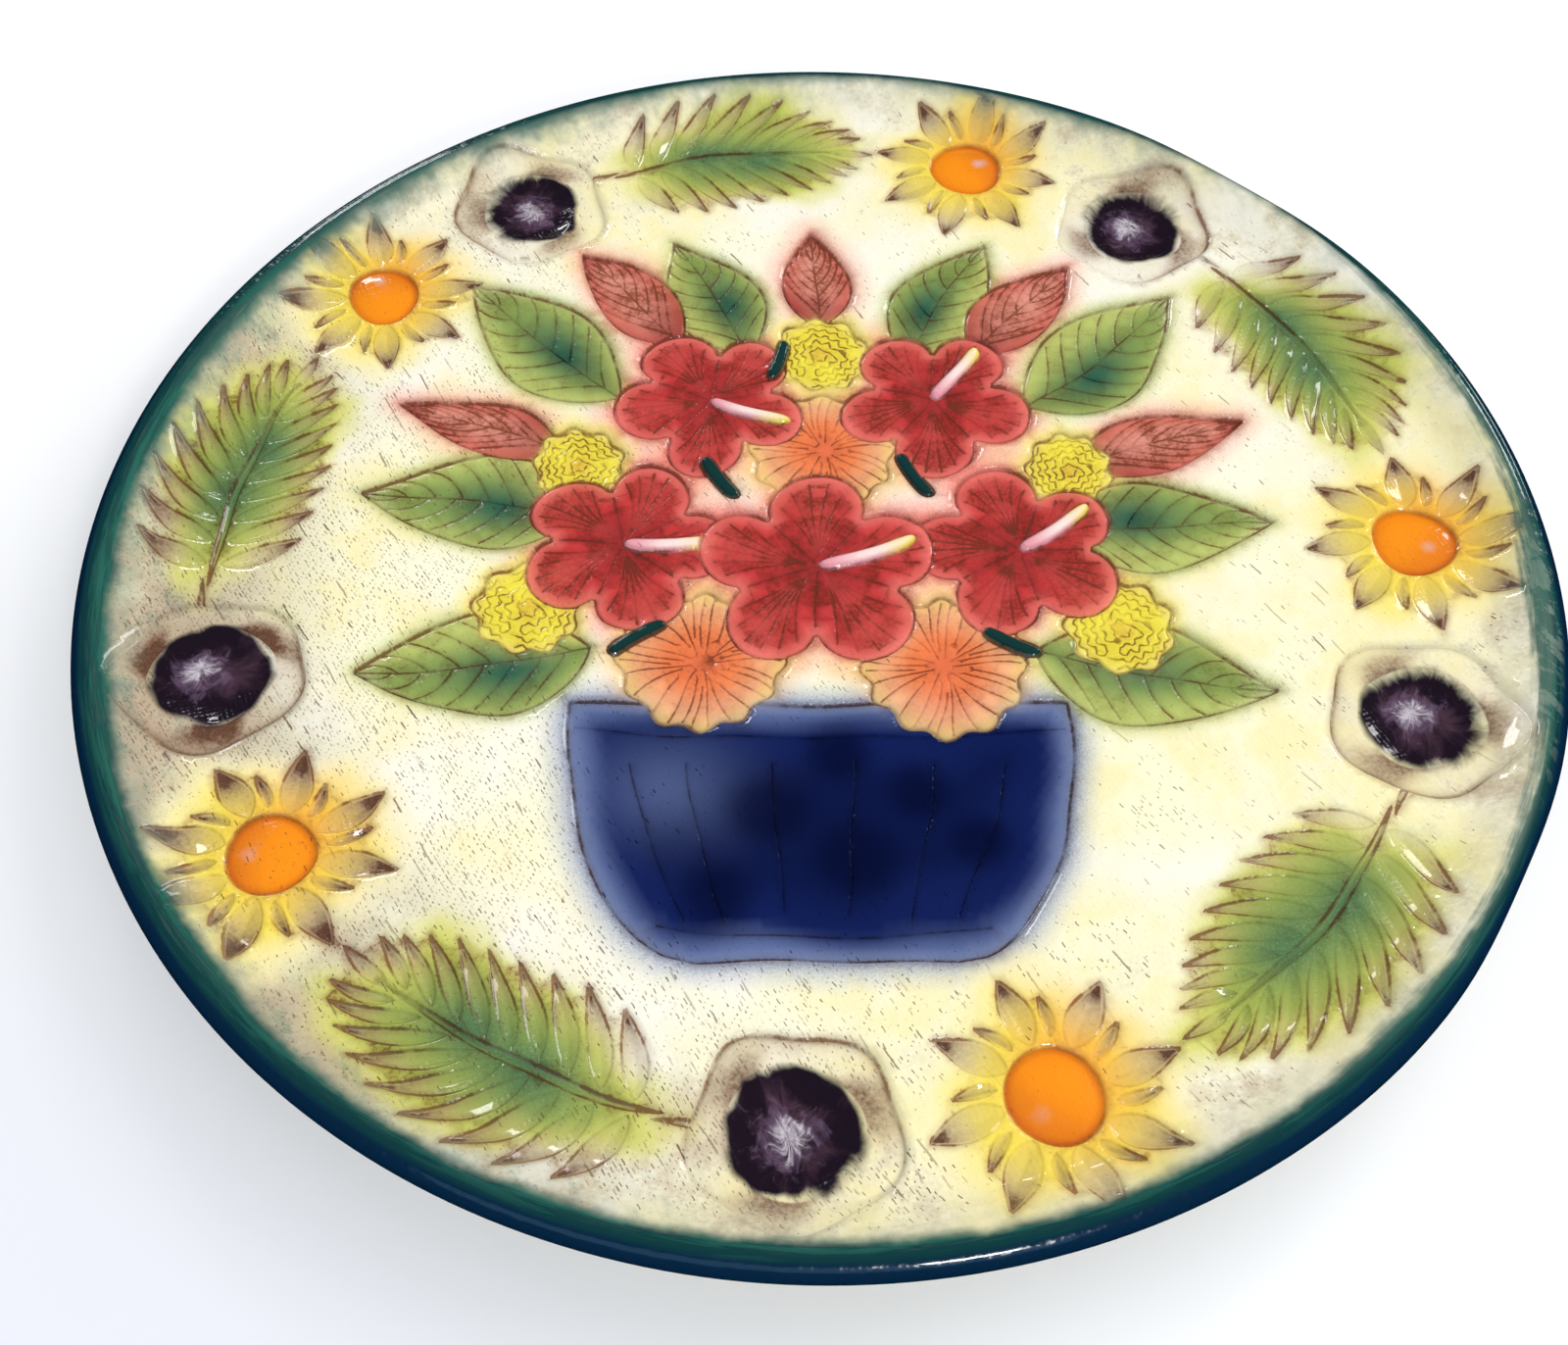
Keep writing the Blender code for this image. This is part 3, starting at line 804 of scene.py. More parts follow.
class Mist:
    """A soft spray of colour over the border, round one figure: its colours from heart to edge."""

    def __init__(self, spot, half_size, colours, strength, hearts):
        self.spot, self.half_size = spot, half_size
        self.colours, self.strength, self.hearts = colours, strength, hearts

    def paint_on(self, points):
        own = self.spot.into(points)
        u, v = own[:, 0] / self.half_size[0], own[:, 1] / self.half_size[1]
        bearing = np.arctan2(v, u)
        phase = self.half_size[0] + 0.07 * self.spot.out(np.zeros((1, 2)))[0].sum()
        uneven = 0.09 * np.sin(3 * bearing + phase) + 0.07 * np.sin(5 * bearing - 2 * phase)
        ripple = 0.05 * np.sin(own[:, 0] / 3.1 + phase) * np.cos(own[:, 1] / 2.7)
        reach = np.hypot(u, v) * (1 + uneven) + ripple
        heart, body, edge = self.colours
        colour = blend(body, edge, smooth_step(0.45, 0.95, reach))
        for at_u, at_v, size in self.hearts:
            near = np.exp(-(((u - at_u) ** 2 + (0.8 * (v - at_v)) ** 2) / size ** 2))
            colour = blend(colour, heart, 0.85 * near)
        return colour, self.strength * smooth_step(1.1, 0.72, reach)


def blade(own, length, width, bend, first, last):
    """A leaf's shape laid where it grows: its outline, its spine from first to last, and its tip."""
    tip = own.out(np.array([[length, bend * length]]))[0]
    return own.out(leaf(length, width, bend)), own.out(leaf_rib(length, bend, first, last)), tip


def frond(bearing):
    """A fern spray along the ring: leaflets in pairs that lean to its tip, then its end, stalk and stem."""
    half = FROND_LENGTH / 2
    pitch = FROND_LENGTH * 0.78 / LEAFLETS
    strip = Strip(bearing)
    figures = []
    for i in range(LEAFLETS):
        share = i / (LEAFLETS - 1)
        lean = math.radians(76 - 44 * share)
        length = FROND_REACH * math.sin(math.pi * (0.24 + 0.62 * share)) ** 0.7
        width = 0.82 * pitch * math.sin(lean)
        foot = -half + 0.08 * FROND_LENGTH + pitch * i
        for side in (1, -1):
            shape = blade(Spot(foot, side * 1.6, side * lean), length, width, -0.2 * side, 0.15, 0.85)
            figures.append(Gouge(strip, *shape, LEAFLET_PRESS, width / 2))
    # The wash gathers at the spray's own tip, and at its foot for the stalk and the stem
    tip, foot = (half, 0), (-half, 0)
    end = blade(Spot(half - 0.18 * FROND_LENGTH, 0), 0.17 * FROND_LENGTH, pitch * 0.45, 0, 0.2, 0.8)
    stalk = blade(Spot(-half - 15, 2.2, math.radians(-9)), 17, 1.5, 0.12, 0.1, 0.9)
    stem = blade(Spot(*foot), 0.86 * FROND_LENGTH, 2.2, 0, 0.05, 0.95)
    figures.append(Gouge(strip, *end[:2], tip, LEAFLET_PRESS, pitch * 0.22, 0.8))
    figures.append(Gouge(strip, *stalk[:2], foot, 0.6 * LEAFLET_PRESS, 0.8, 0.8))
    figures.append(Gouge(strip, *stem[:2], foot, 0.8 * LEAFLET_PRESS, 1.1))
    return figures


def daisy(bearing):
    """Long petals round an eye, and a short one between each two."""
    reach = DAISY_RADIUS - DAISY_EYE + 1
    figures = []
    for i in range(DAISY_PETALS):
        middle = TURN * i / DAISY_PETALS
        between = middle + TURN / DAISY_PETALS / 2
        for turn, gap, length, width, bend, last in (
            (middle, 0.4, reach, 0.4 * reach, 0.06, 0.85),
            (between, 2, 0.55 * reach, 0.16 * reach, 0.3, 0.8),
        ):
            shape = blade(Spot(*polar(DAISY_EYE + gap, turn), turn), length, width, bend, 0.2, last)
            figures.append(Gouge(on_ring(bearing), *shape, PETAL_PRESS, width / 2))
    return figures + [DaisyEye(bearing)]


def border():
    """The ring's sprays of colour, its figures from back to front, and the dark hearts' own frames."""
    mists, figures, hearts = [], [], []
    # The bearings within a repeat are those of a ring of five
    squeeze = 5 / REPEATS
    for repeat in range(REPEATS):
        bearing = math.radians(FIRST_BEARING) + TURN * repeat / REPEATS
        reach = (FROND_LENGTH * 0.5, FROND_REACH * 0.86)
        hearts_at = ((-0.3, 0.05, 0.34), (0.15, -0.1, 0.3))
        mists.append(Mist(Strip(bearing), reach, (FERN_HEART, FERN, FERN_EDGE), 0.9, hearts_at))
        figures += frond(bearing)
        dark = bearing + math.radians(DARK_BEARING) * squeeze
        figures += [Sepals(dark), DarkHeart(dark)]
        hearts.append(figures[-1])
        yellow = bearing + math.radians(DAISY_BEARING) * squeeze
        spot = Spot(*polar(BORDER_RADIUS, yellow))
        reach = DAISY_RADIUS * 1.12
        mists.append(Mist(spot, (reach, reach), (SUNNY, PRIMROSE, BUTTER), 0.94, ((0.16, 0.14, 0.4),)))
        figures += daisy(yellow)
    return mists, figures, hearts


def bouquet():
    """The bowl and its flowers, from back to front."""
    figures = [Leaf(row) for row in GREEN_LEAVES] + [Bud(row) for row in RED_BUDS] + [Bowl(BOWL)]
    figures += [Pompon(row) for row in POMPONS] + [Fan(row) for row in FANS]
    for row in BLOSSOMS[::-1]:
        figures += [Blossom(row), Pistil(row)]
    return figures + [Stem(row) for row in STEMS]


# The sheet


def runs(keep, closed):
    """The stretches of a line whose points are all kept, as lists of indices."""
    indices = list(range(len(keep)))
    if closed:
        if all(keep):
            return [indices + [0]]
        first = int(np.argmin(keep))
        indices = indices[first:] + indices[:first]
    stretches, current = [], []
    for i in indices:
        if keep[i]:
            current.append(i)
        elif current:
            stretches.append(current)
            current = []
    return stretches + ([current] if current else [])


def figure_chains(figure, in_front):
    """The sheet's lines for one figure: its outline and the lines inside, with their shoulders."""
    lanes = []
    for distance in figure.offsets:
        lane = sideways(figure.outline, distance, closed=True)
        off = np.abs(inner_distance(lane, figure.outline) - distance)
        lanes.append((lane, off < 0.25 * abs(distance) + 0.02, True))
    for line in figure.lines:
        even = resampled(line, SPACING, closed=False)
        for distance in (-LINE_SHOULDER, 0, LINE_SHOULDER):
            lane = sideways(even, distance, closed=False)
            lanes.append((lane, inner_distance(lane, figure.outline) > 0.5, False))
    chains = []
    over = [other for other in in_front if figure.meets(other)]
    for lane, keep, closed in lanes:
        keep = keep & (reach_of(lane) < FACE_RADIUS - 0.8)
        for other in over:
            close = other.near(lane, 0)
            if len(close):
                keep[close] &= inner_distance(lane[close], other.outline) < HIDDEN
        chains += [lane[run] for run in runs(keep, closed) if len(run) > 1]
    return chains


def fill_points(taken):
    """Evenly spread points where no line of a figure is near."""
    tree = kdtree.KDTree(len(taken))
    for i, (x, y) in enumerate(taken):
        tree.insert((x, y, 0), i)
    tree.balance()
    filled = []
    slope = BORDER_EDGE - 4
    for spacing, inner, outer in ((FILL_SPACING, 0, slope), (SLOPE_SPACING, slope, FACE_RADIUS - 1)):
        rows = int(FACE_RADIUS / spacing / ROW_PITCH) + 1
        for row in range(-rows, rows + 1):
            for column in range(-rows, rows + 1):
                x, y = spacing * (column + 0.5 * (row % 2)), spacing * ROW_PITCH * row
                in_ring = inner <= math.hypot(x, y) < outer
                if in_ring and tree.find((x, y, 0))[2] > FILL_CLEARANCE * spacing:
                    filled.append((x, y))
    return filled


def flat_sheet(figures):
    """The face as flat triangles. No operator cuts a sheet along crossing lines, so it is triangulated."""
    points, edges = [], []
    for i, figure in enumerate(figures):
        for chain in figure_chains(figure, figures[i + 1:]):
            edges += [(len(points) + k, len(points) + k + 1) for k in range(len(chain) - 1)]
            points += [tuple(point) for point in chain]
    rim = polar(FACE_RADIUS, TURN * np.arange(SEGMENTS) / SEGMENTS)
    edges += [(len(points) + i, len(points) + (i + 1) % SEGMENTS) for i in range(SEGMENTS)]
    points += [tuple(point) for point in rim]
    points += fill_points(points)
    corners = [Vector(point) for point in points]
    flat, _, triangles, *_ = delaunay_2d_cdt(corners, edges, [], 0, MERGE, False)
    level = float(face_height(FACE_RADIUS))
    mesh = bpy.data.meshes.new("face sheet")
    corners = [(x * MM, y * MM, level * MM) for x, y in flat]
    mesh.from_pydata(corners, [], [list(face) for face in triangles])
    return mesh, level


# The turned rest


def turned_profile():
    """From the face's edge over the rolled rim, in under the dish, round the foot to the middle."""
    bead_height = PLATE_HEIGHT - BEAD_RADIUS
    profile = [(FACE_RADIUS, float(face_height(FACE_RADIUS)))]
    for degrees in np.linspace(90, -50, 22):
        groove = 0.28 * math.exp(-(((degrees - 84) / 5) ** 2))
        reach = BEAD_RADIUS - groove
        profile.append((CREST_RADIUS + reach * math.cos(math.radians(degrees)),
                        bead_height + reach * math.sin(math.radians(degrees))))
    under, under_height = BORDER_EDGE - 2, float(face_height(BORDER_EDGE)) - WALL
    profile.append((under + 6, under_height + 2.1))
    for share in (0, 0.25, 0.5, 0.75):
        inwards = share * (FOOT_RADIUS + 5 - under)
        down = share * (FOOT_HEIGHT + 0.6 - under_height)
        profile.append((under + inwards, under_height + down))
    outer, inner = FOOT_RADIUS, FOOT_RADIUS - FOOT_WIDTH
    profile += [
        (outer + 4.5, FOOT_HEIGHT + 0.7),
        (outer + FOOT_DRAFT + 0.6, FOOT_HEIGHT - 0.4),
        (outer + 0.9, WIRE_HOLE_HEIGHT + WIRE_HOLE_RADIUS),
        (outer + 0.7, WIRE_HOLE_HEIGHT),
        (outer + 0.4, WIRE_HOLE_HEIGHT - WIRE_HOLE_RADIUS),
        (outer, 0.5),
        (outer - 0.5, 0),
        (inner + 0.5, 0),
        (inner, 0.5),
        (inner - 0.4, WIRE_HOLE_HEIGHT - WIRE_HOLE_RADIUS),
        (inner - 0.7, WIRE_HOLE_HEIGHT),
        (inner - 0.9, WIRE_HOLE_HEIGHT + WIRE_HOLE_RADIUS),
        (inner - FOOT_DRAFT - 0.6, FOOT_HEIGHT - 0.3),
        (inner - 5, FOOT_HEIGHT),
        (inner / 2, FOOT_HEIGHT),
        (0, FOOT_HEIGHT),
    ]
    return profile


def turned_rest():
    profile = turned_profile()
    bm = bmesh.new()
    verts = [bm.verts.new((radius * MM, 0, height * MM)) for radius, height in profile]
    edges = [bm.edges.new(pair) for pair in zip(verts, verts[1:])]
    bmesh.ops.spin(
        bm, geom=verts + edges, axis=(0, 0, 1), cent=(0, 0, 0), dvec=(0, 0, 0), angle=TURN,
        steps=SEGMENTS, use_merge=True, use_normal_flip=False, use_duplicate=False,
    )
    bmesh.ops.remove_doubles(bm, verts=bm.verts, dist=0.001 * MM)
    return bm


def wire_hole(bm, bearing):
    """Opens the foot ring: on both sides of it the faces round a point go, and a tunnel joins the gaps."""
    centre = Vector((*polar(FOOT_RADIUS - FOOT_WIDTH / 2, bearing), WIRE_HOLE_HEIGHT)) * MM
    outward = Vector((math.cos(bearing), math.sin(bearing), 0))
    tangent = outward.cross(Vector((0, 0, 1)))
    near_side, far_side = 0.4 * FOOT_WIDTH * MM, 0.7 * FOOT_WIDTH * MM
    gaps = []
    for side in (1, -1):
        at_wall = centre + outward * side * FOOT_WIDTH / 2 * MM
        wall = [v for v in bm.verts if near_side < side * (v.co - centre).dot(outward) < far_side]
        middle = min(wall, key=lambda v: (v.co - at_wall).length)
        loop = [e for face in middle.link_faces for e in face.edges if middle not in e.verts]
        for vertex in {v for edge in loop for v in edge.verts}:
            sideways_away = (vertex.co - middle.co).dot(tangent)
            flat = Vector((sideways_away, vertex.co.z - centre.z)).normalized() * WIRE_HOLE_RADIUS * MM
            vertex.co = middle.co + tangent * flat.x + Vector((0, 0, flat.y + centre.z - middle.co.z))
        bmesh.ops.delete(bm, geom=[middle], context="VERTS")
        gaps += loop
    bmesh.ops.bridge_loops(bm, edges=gaps)


def trim_by_hand(positions):
    """Draws the edge in at the flat spots, less and less towards the foot ring."""
    radius = np.maximum(reach_of(positions), 1e-6)
    near_edge = (np.clip(radius - FOOT_RADIUS, 0, None) / (RIM_RADIUS - FOOT_RADIUS)) ** 2
    bearing = np.degrees(bearing_of(positions))
    pull = sum(depth * bell((bearing - at) / half) for at, half, depth in FLAT_SPOTS)
    positions[:, :2] *= (1 - pull * near_edge / radius)[:, None]


# The fields over the face


class Fields:
    """What the face is like at each of its points."""

    def __init__(self, points):
        count = len(points)
        self.points = points
        self.depth = np.zeros(count)
        self.cut = np.full(count, CUT_LIMIT)
        self.strength = np.ones(count)
        self.stain = np.zeros(count)
        self.colour = np.tile(linear(CREAM), (count, 1))
        self.cover = np.zeros(count)
        self.heart = np.zeros((count, 3))

    def spray(self, where, colour, cover, under=False):
        """Lays colour over what is there, or under it, as far as it covers."""
        old = self.cover[where]
        total = cover + old * (1 - cover)
        fresh = cover * (1 - old) if under else cover
        share = np.where(total > 1e-4, fresh / np.maximum(total, 1e-4), 1)[:, None]
        self.colour[where] = colour * share + self.colour[where] * (1 - share)
        self.cover[where] = total

    def impress(self, figure):
        where = figure.near(self.points, figure.spray_reach)
        inner = inner_distance(self.points[where], figure.outline)
        own = figure.spot.into(self.points[where])
        layers = figure.paint(inner, own)
        for colour, cover in layers[:-1]:
            self.spray(where, colour, cover, under=True)
        for colour, cover in layers[-1:]:
            crisp = cover * smooth_step(-0.5, 0, inner)
            on_paint = self.cover[where] ** 6
            self.spray(where, colour, cover + (crisp - cover) * on_paint)
        inside = inner > -1e-3
        held, free = where[inside], where[~inside]
        edge = np.abs(inner) / figure.outline_half
        nearest = np.full(len(held), np.inf)
        for line in figure.lines:
            close = within(self.points[held], line.min(axis=0), line.max(axis=0), LINE_REACH)
            away = line_distance(self.points[held[close]], line) / figure.line_half
            nearest[close] = np.minimum(nearest[close], away)
        on_line = nearest < edge[inside]
        self.cut[held] = np.minimum(np.where(on_line, nearest, edge[inside]), CUT_LIMIT)
        kept = figure.fade(own) * figure.outline_strength
        self.strength[held] = np.where(on_line, figure.line_strength, kept[inside])
        grooves = figure.groove * bell(nearest * figure.line_half / figure.groove_half)
        self.depth[held] = figure.press(np.clip(inner[inside], 0, None), own[inside]) + grooves
        self.stain[held] = figure.stain(inner[inside], own[inside])
        lip = figure.lip(inner[~inside])
        self.depth[free] = np.where(lip > 0, np.maximum(self.depth[free], lip), self.depth[free] + lip)
        closer = edge[~inside] < self.cut[free]
        self.cut[free[closer]] = edge[~inside][closer]
        self.strength[free[closer]] = kept[~inside][closer]


def undulation(points):
    """The hand-pressed face is never quite even."""
    x, y = points[:, 0], points[:, 1]
    waves = np.sin(x / 31 + 0.7) * np.cos(y / 27) + 0.6 * np.sin((x + y) / 19 + 2)
    waves += 0.4 * np.cos((x - 1.6 * y) / 13)
    return 0.16 * waves * smooth_step(FACE_RADIUS - 2, BORDER_EDGE - 12, np.hypot(x, y))


def drift(points):
    """Leaves pressed by hand lie a little unevenly: the face's drawing drifts by less than a millimetre."""
    x, y = points[:, 0], points[:, 1]
    across = 0.55 * np.sin(x / 8.3 + 1.3 * np.sin(y / 17)) + 0.35 * np.sin(y / 5.1 + x / 12 + 2)
    along = 0.55 * np.cos(y / 7.7 + 1.1 * np.cos(x / 15)) + 0.35 * np.sin(x / 5.6 - y / 13 + 1)
    held = smooth_step(FACE_RADIUS - 6, BORDER_EDGE - 14, np.hypot(x, y))
    return np.stack([across * held, along * held], axis=1)


def plate_fields(points, figures, mists, hearts):
    fields = Fields(points)
    everywhere = np.arange(len(points))
    for mist in mists:
        fields.spray(everywhere, *mist.paint_on(points))
    for figure in figures:
        fields.impress(figure)
    for heart in hearts:
        where = heart.near(points, 8)
        own = heart.spot.into(points[where])
        fields.heart[where, :2] = own
        fields.heart[where, 2] = smooth_step(DARK_RADIUS + 7, DARK_RADIUS + 4, reach_of(own))
    return fields


def placed(name, data):
    """A new object in the scene for a mesh, a lamp or a camera."""
    made = bpy.data.objects.new(name, data)
    bpy.context.scene.collection.objects.link(made)
    return made


def facing(direction):
    return Vector(direction).to_track_quat("-Z", "Y").to_euler()


def store(mesh, name, kind, values):
    layer = mesh.attributes.new(name, kind, "POINT")
    layer.data.foreach_set(FILLED_BY[kind], values.ravel())


def make_plate():
    mists, ring_figures, hearts = border()
    figures = ring_figures + bouquet()
    sheet, level = flat_sheet(figures)
    bm = turned_rest()
    for side in (-1, 1):
        wire_hole(bm, math.pi / 2 + side * math.asin(WIRE_HOLE_SPACING / 2 / FOOT_RADIUS))
    bm.from_mesh(sheet)
    bmesh.ops.remove_doubles(bm, verts=bm.verts, dist=0.005 * MM)
    bmesh.ops.recalc_face_normals(bm, faces=bm.faces)
    mesh = bpy.data.meshes.new("plate face and rim")
    bm.to_mesh(mesh)
    bm.free()

    positions = np.empty(len(mesh.vertices) * 3)
    mesh.vertices.foreach_get("co", positions)
    positions = positions.reshape(-1, 3) / MM
    radius = reach_of(positions)
    on_face = np.nonzero((np.abs(positions[:, 2] - level) < 1e-3) & (radius < FACE_RADIUS + 0.05))[0]
    points = positions[on_face, :2]
    fields = plate_fields(points, figures, mists, hearts)
    positions[on_face, 2] = face_height(radius[on_face]) - fields.depth + undulation(points)
    positions[on_face, :2] += drift(points)

    whole = Fields(positions[:, :2])
    for name in ("cut", "strength", "stain", "colour", "cover", "heart"):
        getattr(whole, name)[on_face] = getattr(fields, name)
    trim_by_hand(positions)
    mesh.vertices.foreach_set("co", (positions * MM).ravel())
    for name in ("cut", "strength", "stain", "cover"):
        store(mesh, name, "FLOAT", getattr(whole, name))
    store(mesh, "heart", "FLOAT_VECTOR", whole.heart)
    store(mesh, "paint", "FLOAT_COLOR", np.hstack([whole.colour, np.ones((len(positions), 1))]))
    mesh.update()
    mesh.shade_smooth()
    return placed("glazed_plate", mesh)


# Shader maths


def operator(operation, reflected=False):
    """A method that adds one Math node; a reflected one takes its values the other way round."""
    def apply(signal, *others):
        values = (*others, signal) if reflected else (signal, *others)
        return signal.tree.node("ShaderNodeMath", {"operation": operation}, values).out(0)
    return apply


class Signal:
    """A number that varies over the surface: a shader socket that takes part in sums."""

    def __init__(self, tree, socket):
        self.tree, self.socket = tree, socket

    __add__, __radd__ = operator("ADD"), operator("ADD", True)
    __sub__, __rsub__ = operator("SUBTRACT"), operator("SUBTRACT", True)
    __mul__, __rmul__ = operator("MULTIPLY"), operator("MULTIPLY", True)
    __truediv__, __rtruediv__ = operator("DIVIDE"), operator("DIVIDE", True)
    __pow__, __rpow__ = operator("POWER"), operator("POWER", True)
    greatest = operator("MAXIMUM")
    size = operator("ABSOLUTE")
    part = operator("FRACT")
    whole = operator("FLOOR")
    exponential = operator("EXPONENT")
    sine = operator("SINE")

    def held(self):
        """The value kept from 0 to 1."""
        return self.tree.node("ShaderNodeMath", {"operation": "ADD", "use_clamp": True}, (self, 0)).out(0)

    def rise(self, low, high):
        """0 below low and 1 above high, smooth between; it falls where low is above high."""
        if not isinstance(low, Signal) and low > high:
            return 1 - self.rise(high, low)
        values = {0: self, 1: low, 2: high, 3: 0.0, 4: 1.0}
        return self.tree.node("ShaderNodeMapRange", {"interpolation_type": "SMOOTHSTEP"}, values).out(0)


class Made:
    """A node just made, whose outputs are read as signals or as plain sockets."""

    def __init__(self, tree, node):
        self.tree, self.node_made = tree, node

    def out(self, which):
        return Signal(self.tree, self.node_made.outputs[which])

    def socket(self, which):
        return self.node_made.outputs[which]


class Tree:
    """A material's nodes, and the few kinds this plate's glaze is made of."""

    def __init__(self, material):
        material.use_nodes = True
        self.nodes = material.node_tree.nodes
        self.links = material.node_tree.links
        self.shader = self.nodes["Principled BSDF"]

    def node(self, kind, settings, inputs):
        made = self.nodes.new(kind)
        for name, value in settings.items():
            setattr(made, name, value)
        pairs = inputs.items() if isinstance(inputs, dict) else enumerate(inputs)
        for which, value in pairs:
            self.set(made.inputs[which], value)
        return Made(self, made)

    def set(self, socket, value):
        value = value.socket if isinstance(value, Signal) else value
        if isinstance(value, bpy.types.NodeSocket):
            self.links.new(value, socket)
        else:
            socket.default_value = value

    def attribute(self, name):
        return self.node("ShaderNodeAttribute", {"attribute_name": name}, {})

    def object_place(self):
        return self.node("ShaderNodeTexCoord", {}, {}).socket("Object")

    def vector(self, x, y, z=0.0):
        return self.node("ShaderNodeCombineXYZ", {}, (x, y, z)).socket(0)

    def parts(self, vector):
        split = self.node("ShaderNodeSeparateXYZ", {}, (vector,))
        return split.out(0), split.out(1), split.out(2)

    def noise(self, vector, scale, detail=2.0, roughness=0.5, distortion=0.0):
        values = {"Vector": vector, "Scale": scale, "Detail": detail}
        values.update({"Roughness": roughness, "Distortion": distortion})
        return self.node("ShaderNodeTexNoise", {}, values).out(0)

    def mix(self, first, second, share, kind="MIX"):
        """A colour between two; a tuple is a colour as seen."""
        settings = {"data_type": "RGBA", "blend_type": kind, "clamp_factor": True}
        colours = [(*linear(c), 1.0) if isinstance(c, tuple) else c for c in (first, second)]
        return self.node("ShaderNodeMix", settings, {0: share, 6: colours[0], 7: colours[1]}).socket(2)


# The glaze, layer by layer


class Face:
    """What the layers of the glaze read: where a point is, what varies there, and what was stored there."""

    def __init__(self, tree):
        settings = {"operation": "SCALE"}
        scaled = tree.node("ShaderNodeVectorMath", settings, {0: tree.object_place(), "Scale": 1 / MM})
        self.place = place = scaled.socket(0)
        self.x, self.y, self.z = x, y, z = tree.parts(place)
        self.reach = reach = (x * x + y * y) ** 0.5
        self.outward_x, self.outward_y = x / reach.greatest(1), y / reach.greatest(1)
        self.broad = tree.noise(place, 0.02, 2)
        self.cloudy = tree.noise(place, 0.055, 4, 0.6)
        self.fine = tree.noise(place, 0.9, 2, 0.6)
        self.grit = tree.noise(place, 2.2, 1)
        self.scrub = tree.noise(tree.vector(x * 0.16 + y * 0.1, y * 0.045 - x * 0.07), 1.0, 4, 0.7)
        # The smudges are on the upper side, and more of them are on the left
        steepness = (DISH_DEPTH - BORDER_DEPTH) / BORDER_EDGE ** 2
        dish = reach * reach * steepness + PLATE_HEIGHT - DISH_DEPTH
        self.upper = (z - dish).rise(-5, -4)
        self.left = (x + y * 0.35).rise(-60, -165) * self.upper
        stored = [tree.attribute(name).out("Fac") for name in ("cut", "strength", "stain", "cover")]
        self.cut, self.strength, self.stain, self.cover = stored
        self.paint = tree.attribute("paint").socket("Color")


def bare_ground(tree, at):
    """Cream to butter, with sage, tan and slate smudges and brown grain towards the rim."""
    upper, left, cloudy, fine = at.upper, at.left, at.cloudy, at.fine
    outer = at.reach.rise(118, 172) * upper
    ground = tree.mix(IVORY, BUTTER, at.broad.rise(0.4, 0.6) * (0.4 + upper * 0.6))
    ground = tree.mix(ground, CREAM, cloudy.rise(0.4, 0.6) * 0.7)
    ground = tree.mix(ground, SAGE, (left * outer * (0.25 + cloudy * 0.6)).held())
    ground = tree.mix(ground, TAN, outer * (cloudy + fine * 0.25 + left * 0.17).rise(0.58, 0.88) * 0.75)
    smears = (left * 0.8 + 0.1) * at.reach.rise(142, 172) * at.scrub.rise(0.5, 0.68) * 0.65
    ground = tree.mix(ground, SLATE, smears)
    grain = (at.grit * 0.6 + fine * 0.6 + at.scrub * 0.5 + left * 0.1).rise(0.98, 1.2)
    return tree.mix(ground, BROWN, grain * (left * 0.8 + 0.12) * outer * 0.7)


def linen_marks(tree, at, weave, pitch, gap, thick):
    """Brown ticks that the cloth's weave left, in slanting rows, more of them where it printed well."""
    tilt = math.radians(-56)
    along = (at.x * math.cos(tilt) + at.y * math.sin(tilt)) / pitch
    wander = (at.broad - 0.5) * 8.5 + (at.fine - 0.5) * 0.5
    across = (at.y * math.cos(tilt) - at.x * math.sin(tilt) + wander) / gap
    row = across.whole()
    shifted = along + row * 0.37
    where = {"Vector": tree.vector(shifted.whole(), row)}
    lots = tree.node("ShaderNodeTexWhiteNoise", {"noise_dimensions": "2D"}, where)
    lot, other, third = tree.parts(lots.socket("Color"))
    u = (shifted.part() - 0.35 - third * 0.3).size()
    v = (across.part() - 0.3 - other * 0.4).size() * gap
    dash = (0.1 + other * other * 0.42 - u).rise(-0.03, 0.08) * v.rise(thick, 0.4 * thick)
    return dash * (weave - lot).rise(0.0, 0.1) * (0.45 + third * 0.7)


def with_cloth_marks(tree, at, colour, ink):
    """Ticks and longer cracks where the ground is open, and spatter everywhere."""
    printed = (at.x * -0.0055 - at.y * 0.003 + 0.26).held() * 0.7
    weave = (printed + (at.cloudy - 0.5) * 1.7 + 0.04).greatest(0.09)
    open_ground = at.reach.rise(183, 173) * (1 - at.cover * 0.8) * at.upper
    ticks = linen_marks(tree, at, weave * open_ground, 1.9, 0.95, 0.19)
    cracks = linen_marks(tree, at, (weave * 0.25 + 0.09) * open_ground, 8, 3.1, 0.3)
    colour = tree.mix(colour, ink, ticks.greatest(cracks) * 0.8)
    spatter = tree.noise(at.place, 1.25, 2, 0.7) + at.left * 0.03 + at.cover * 0.02 - (1 - at.upper) * 0.04
    return tree.mix(colour, ink, spatter.rise(0.69, 0.76) * 0.6)


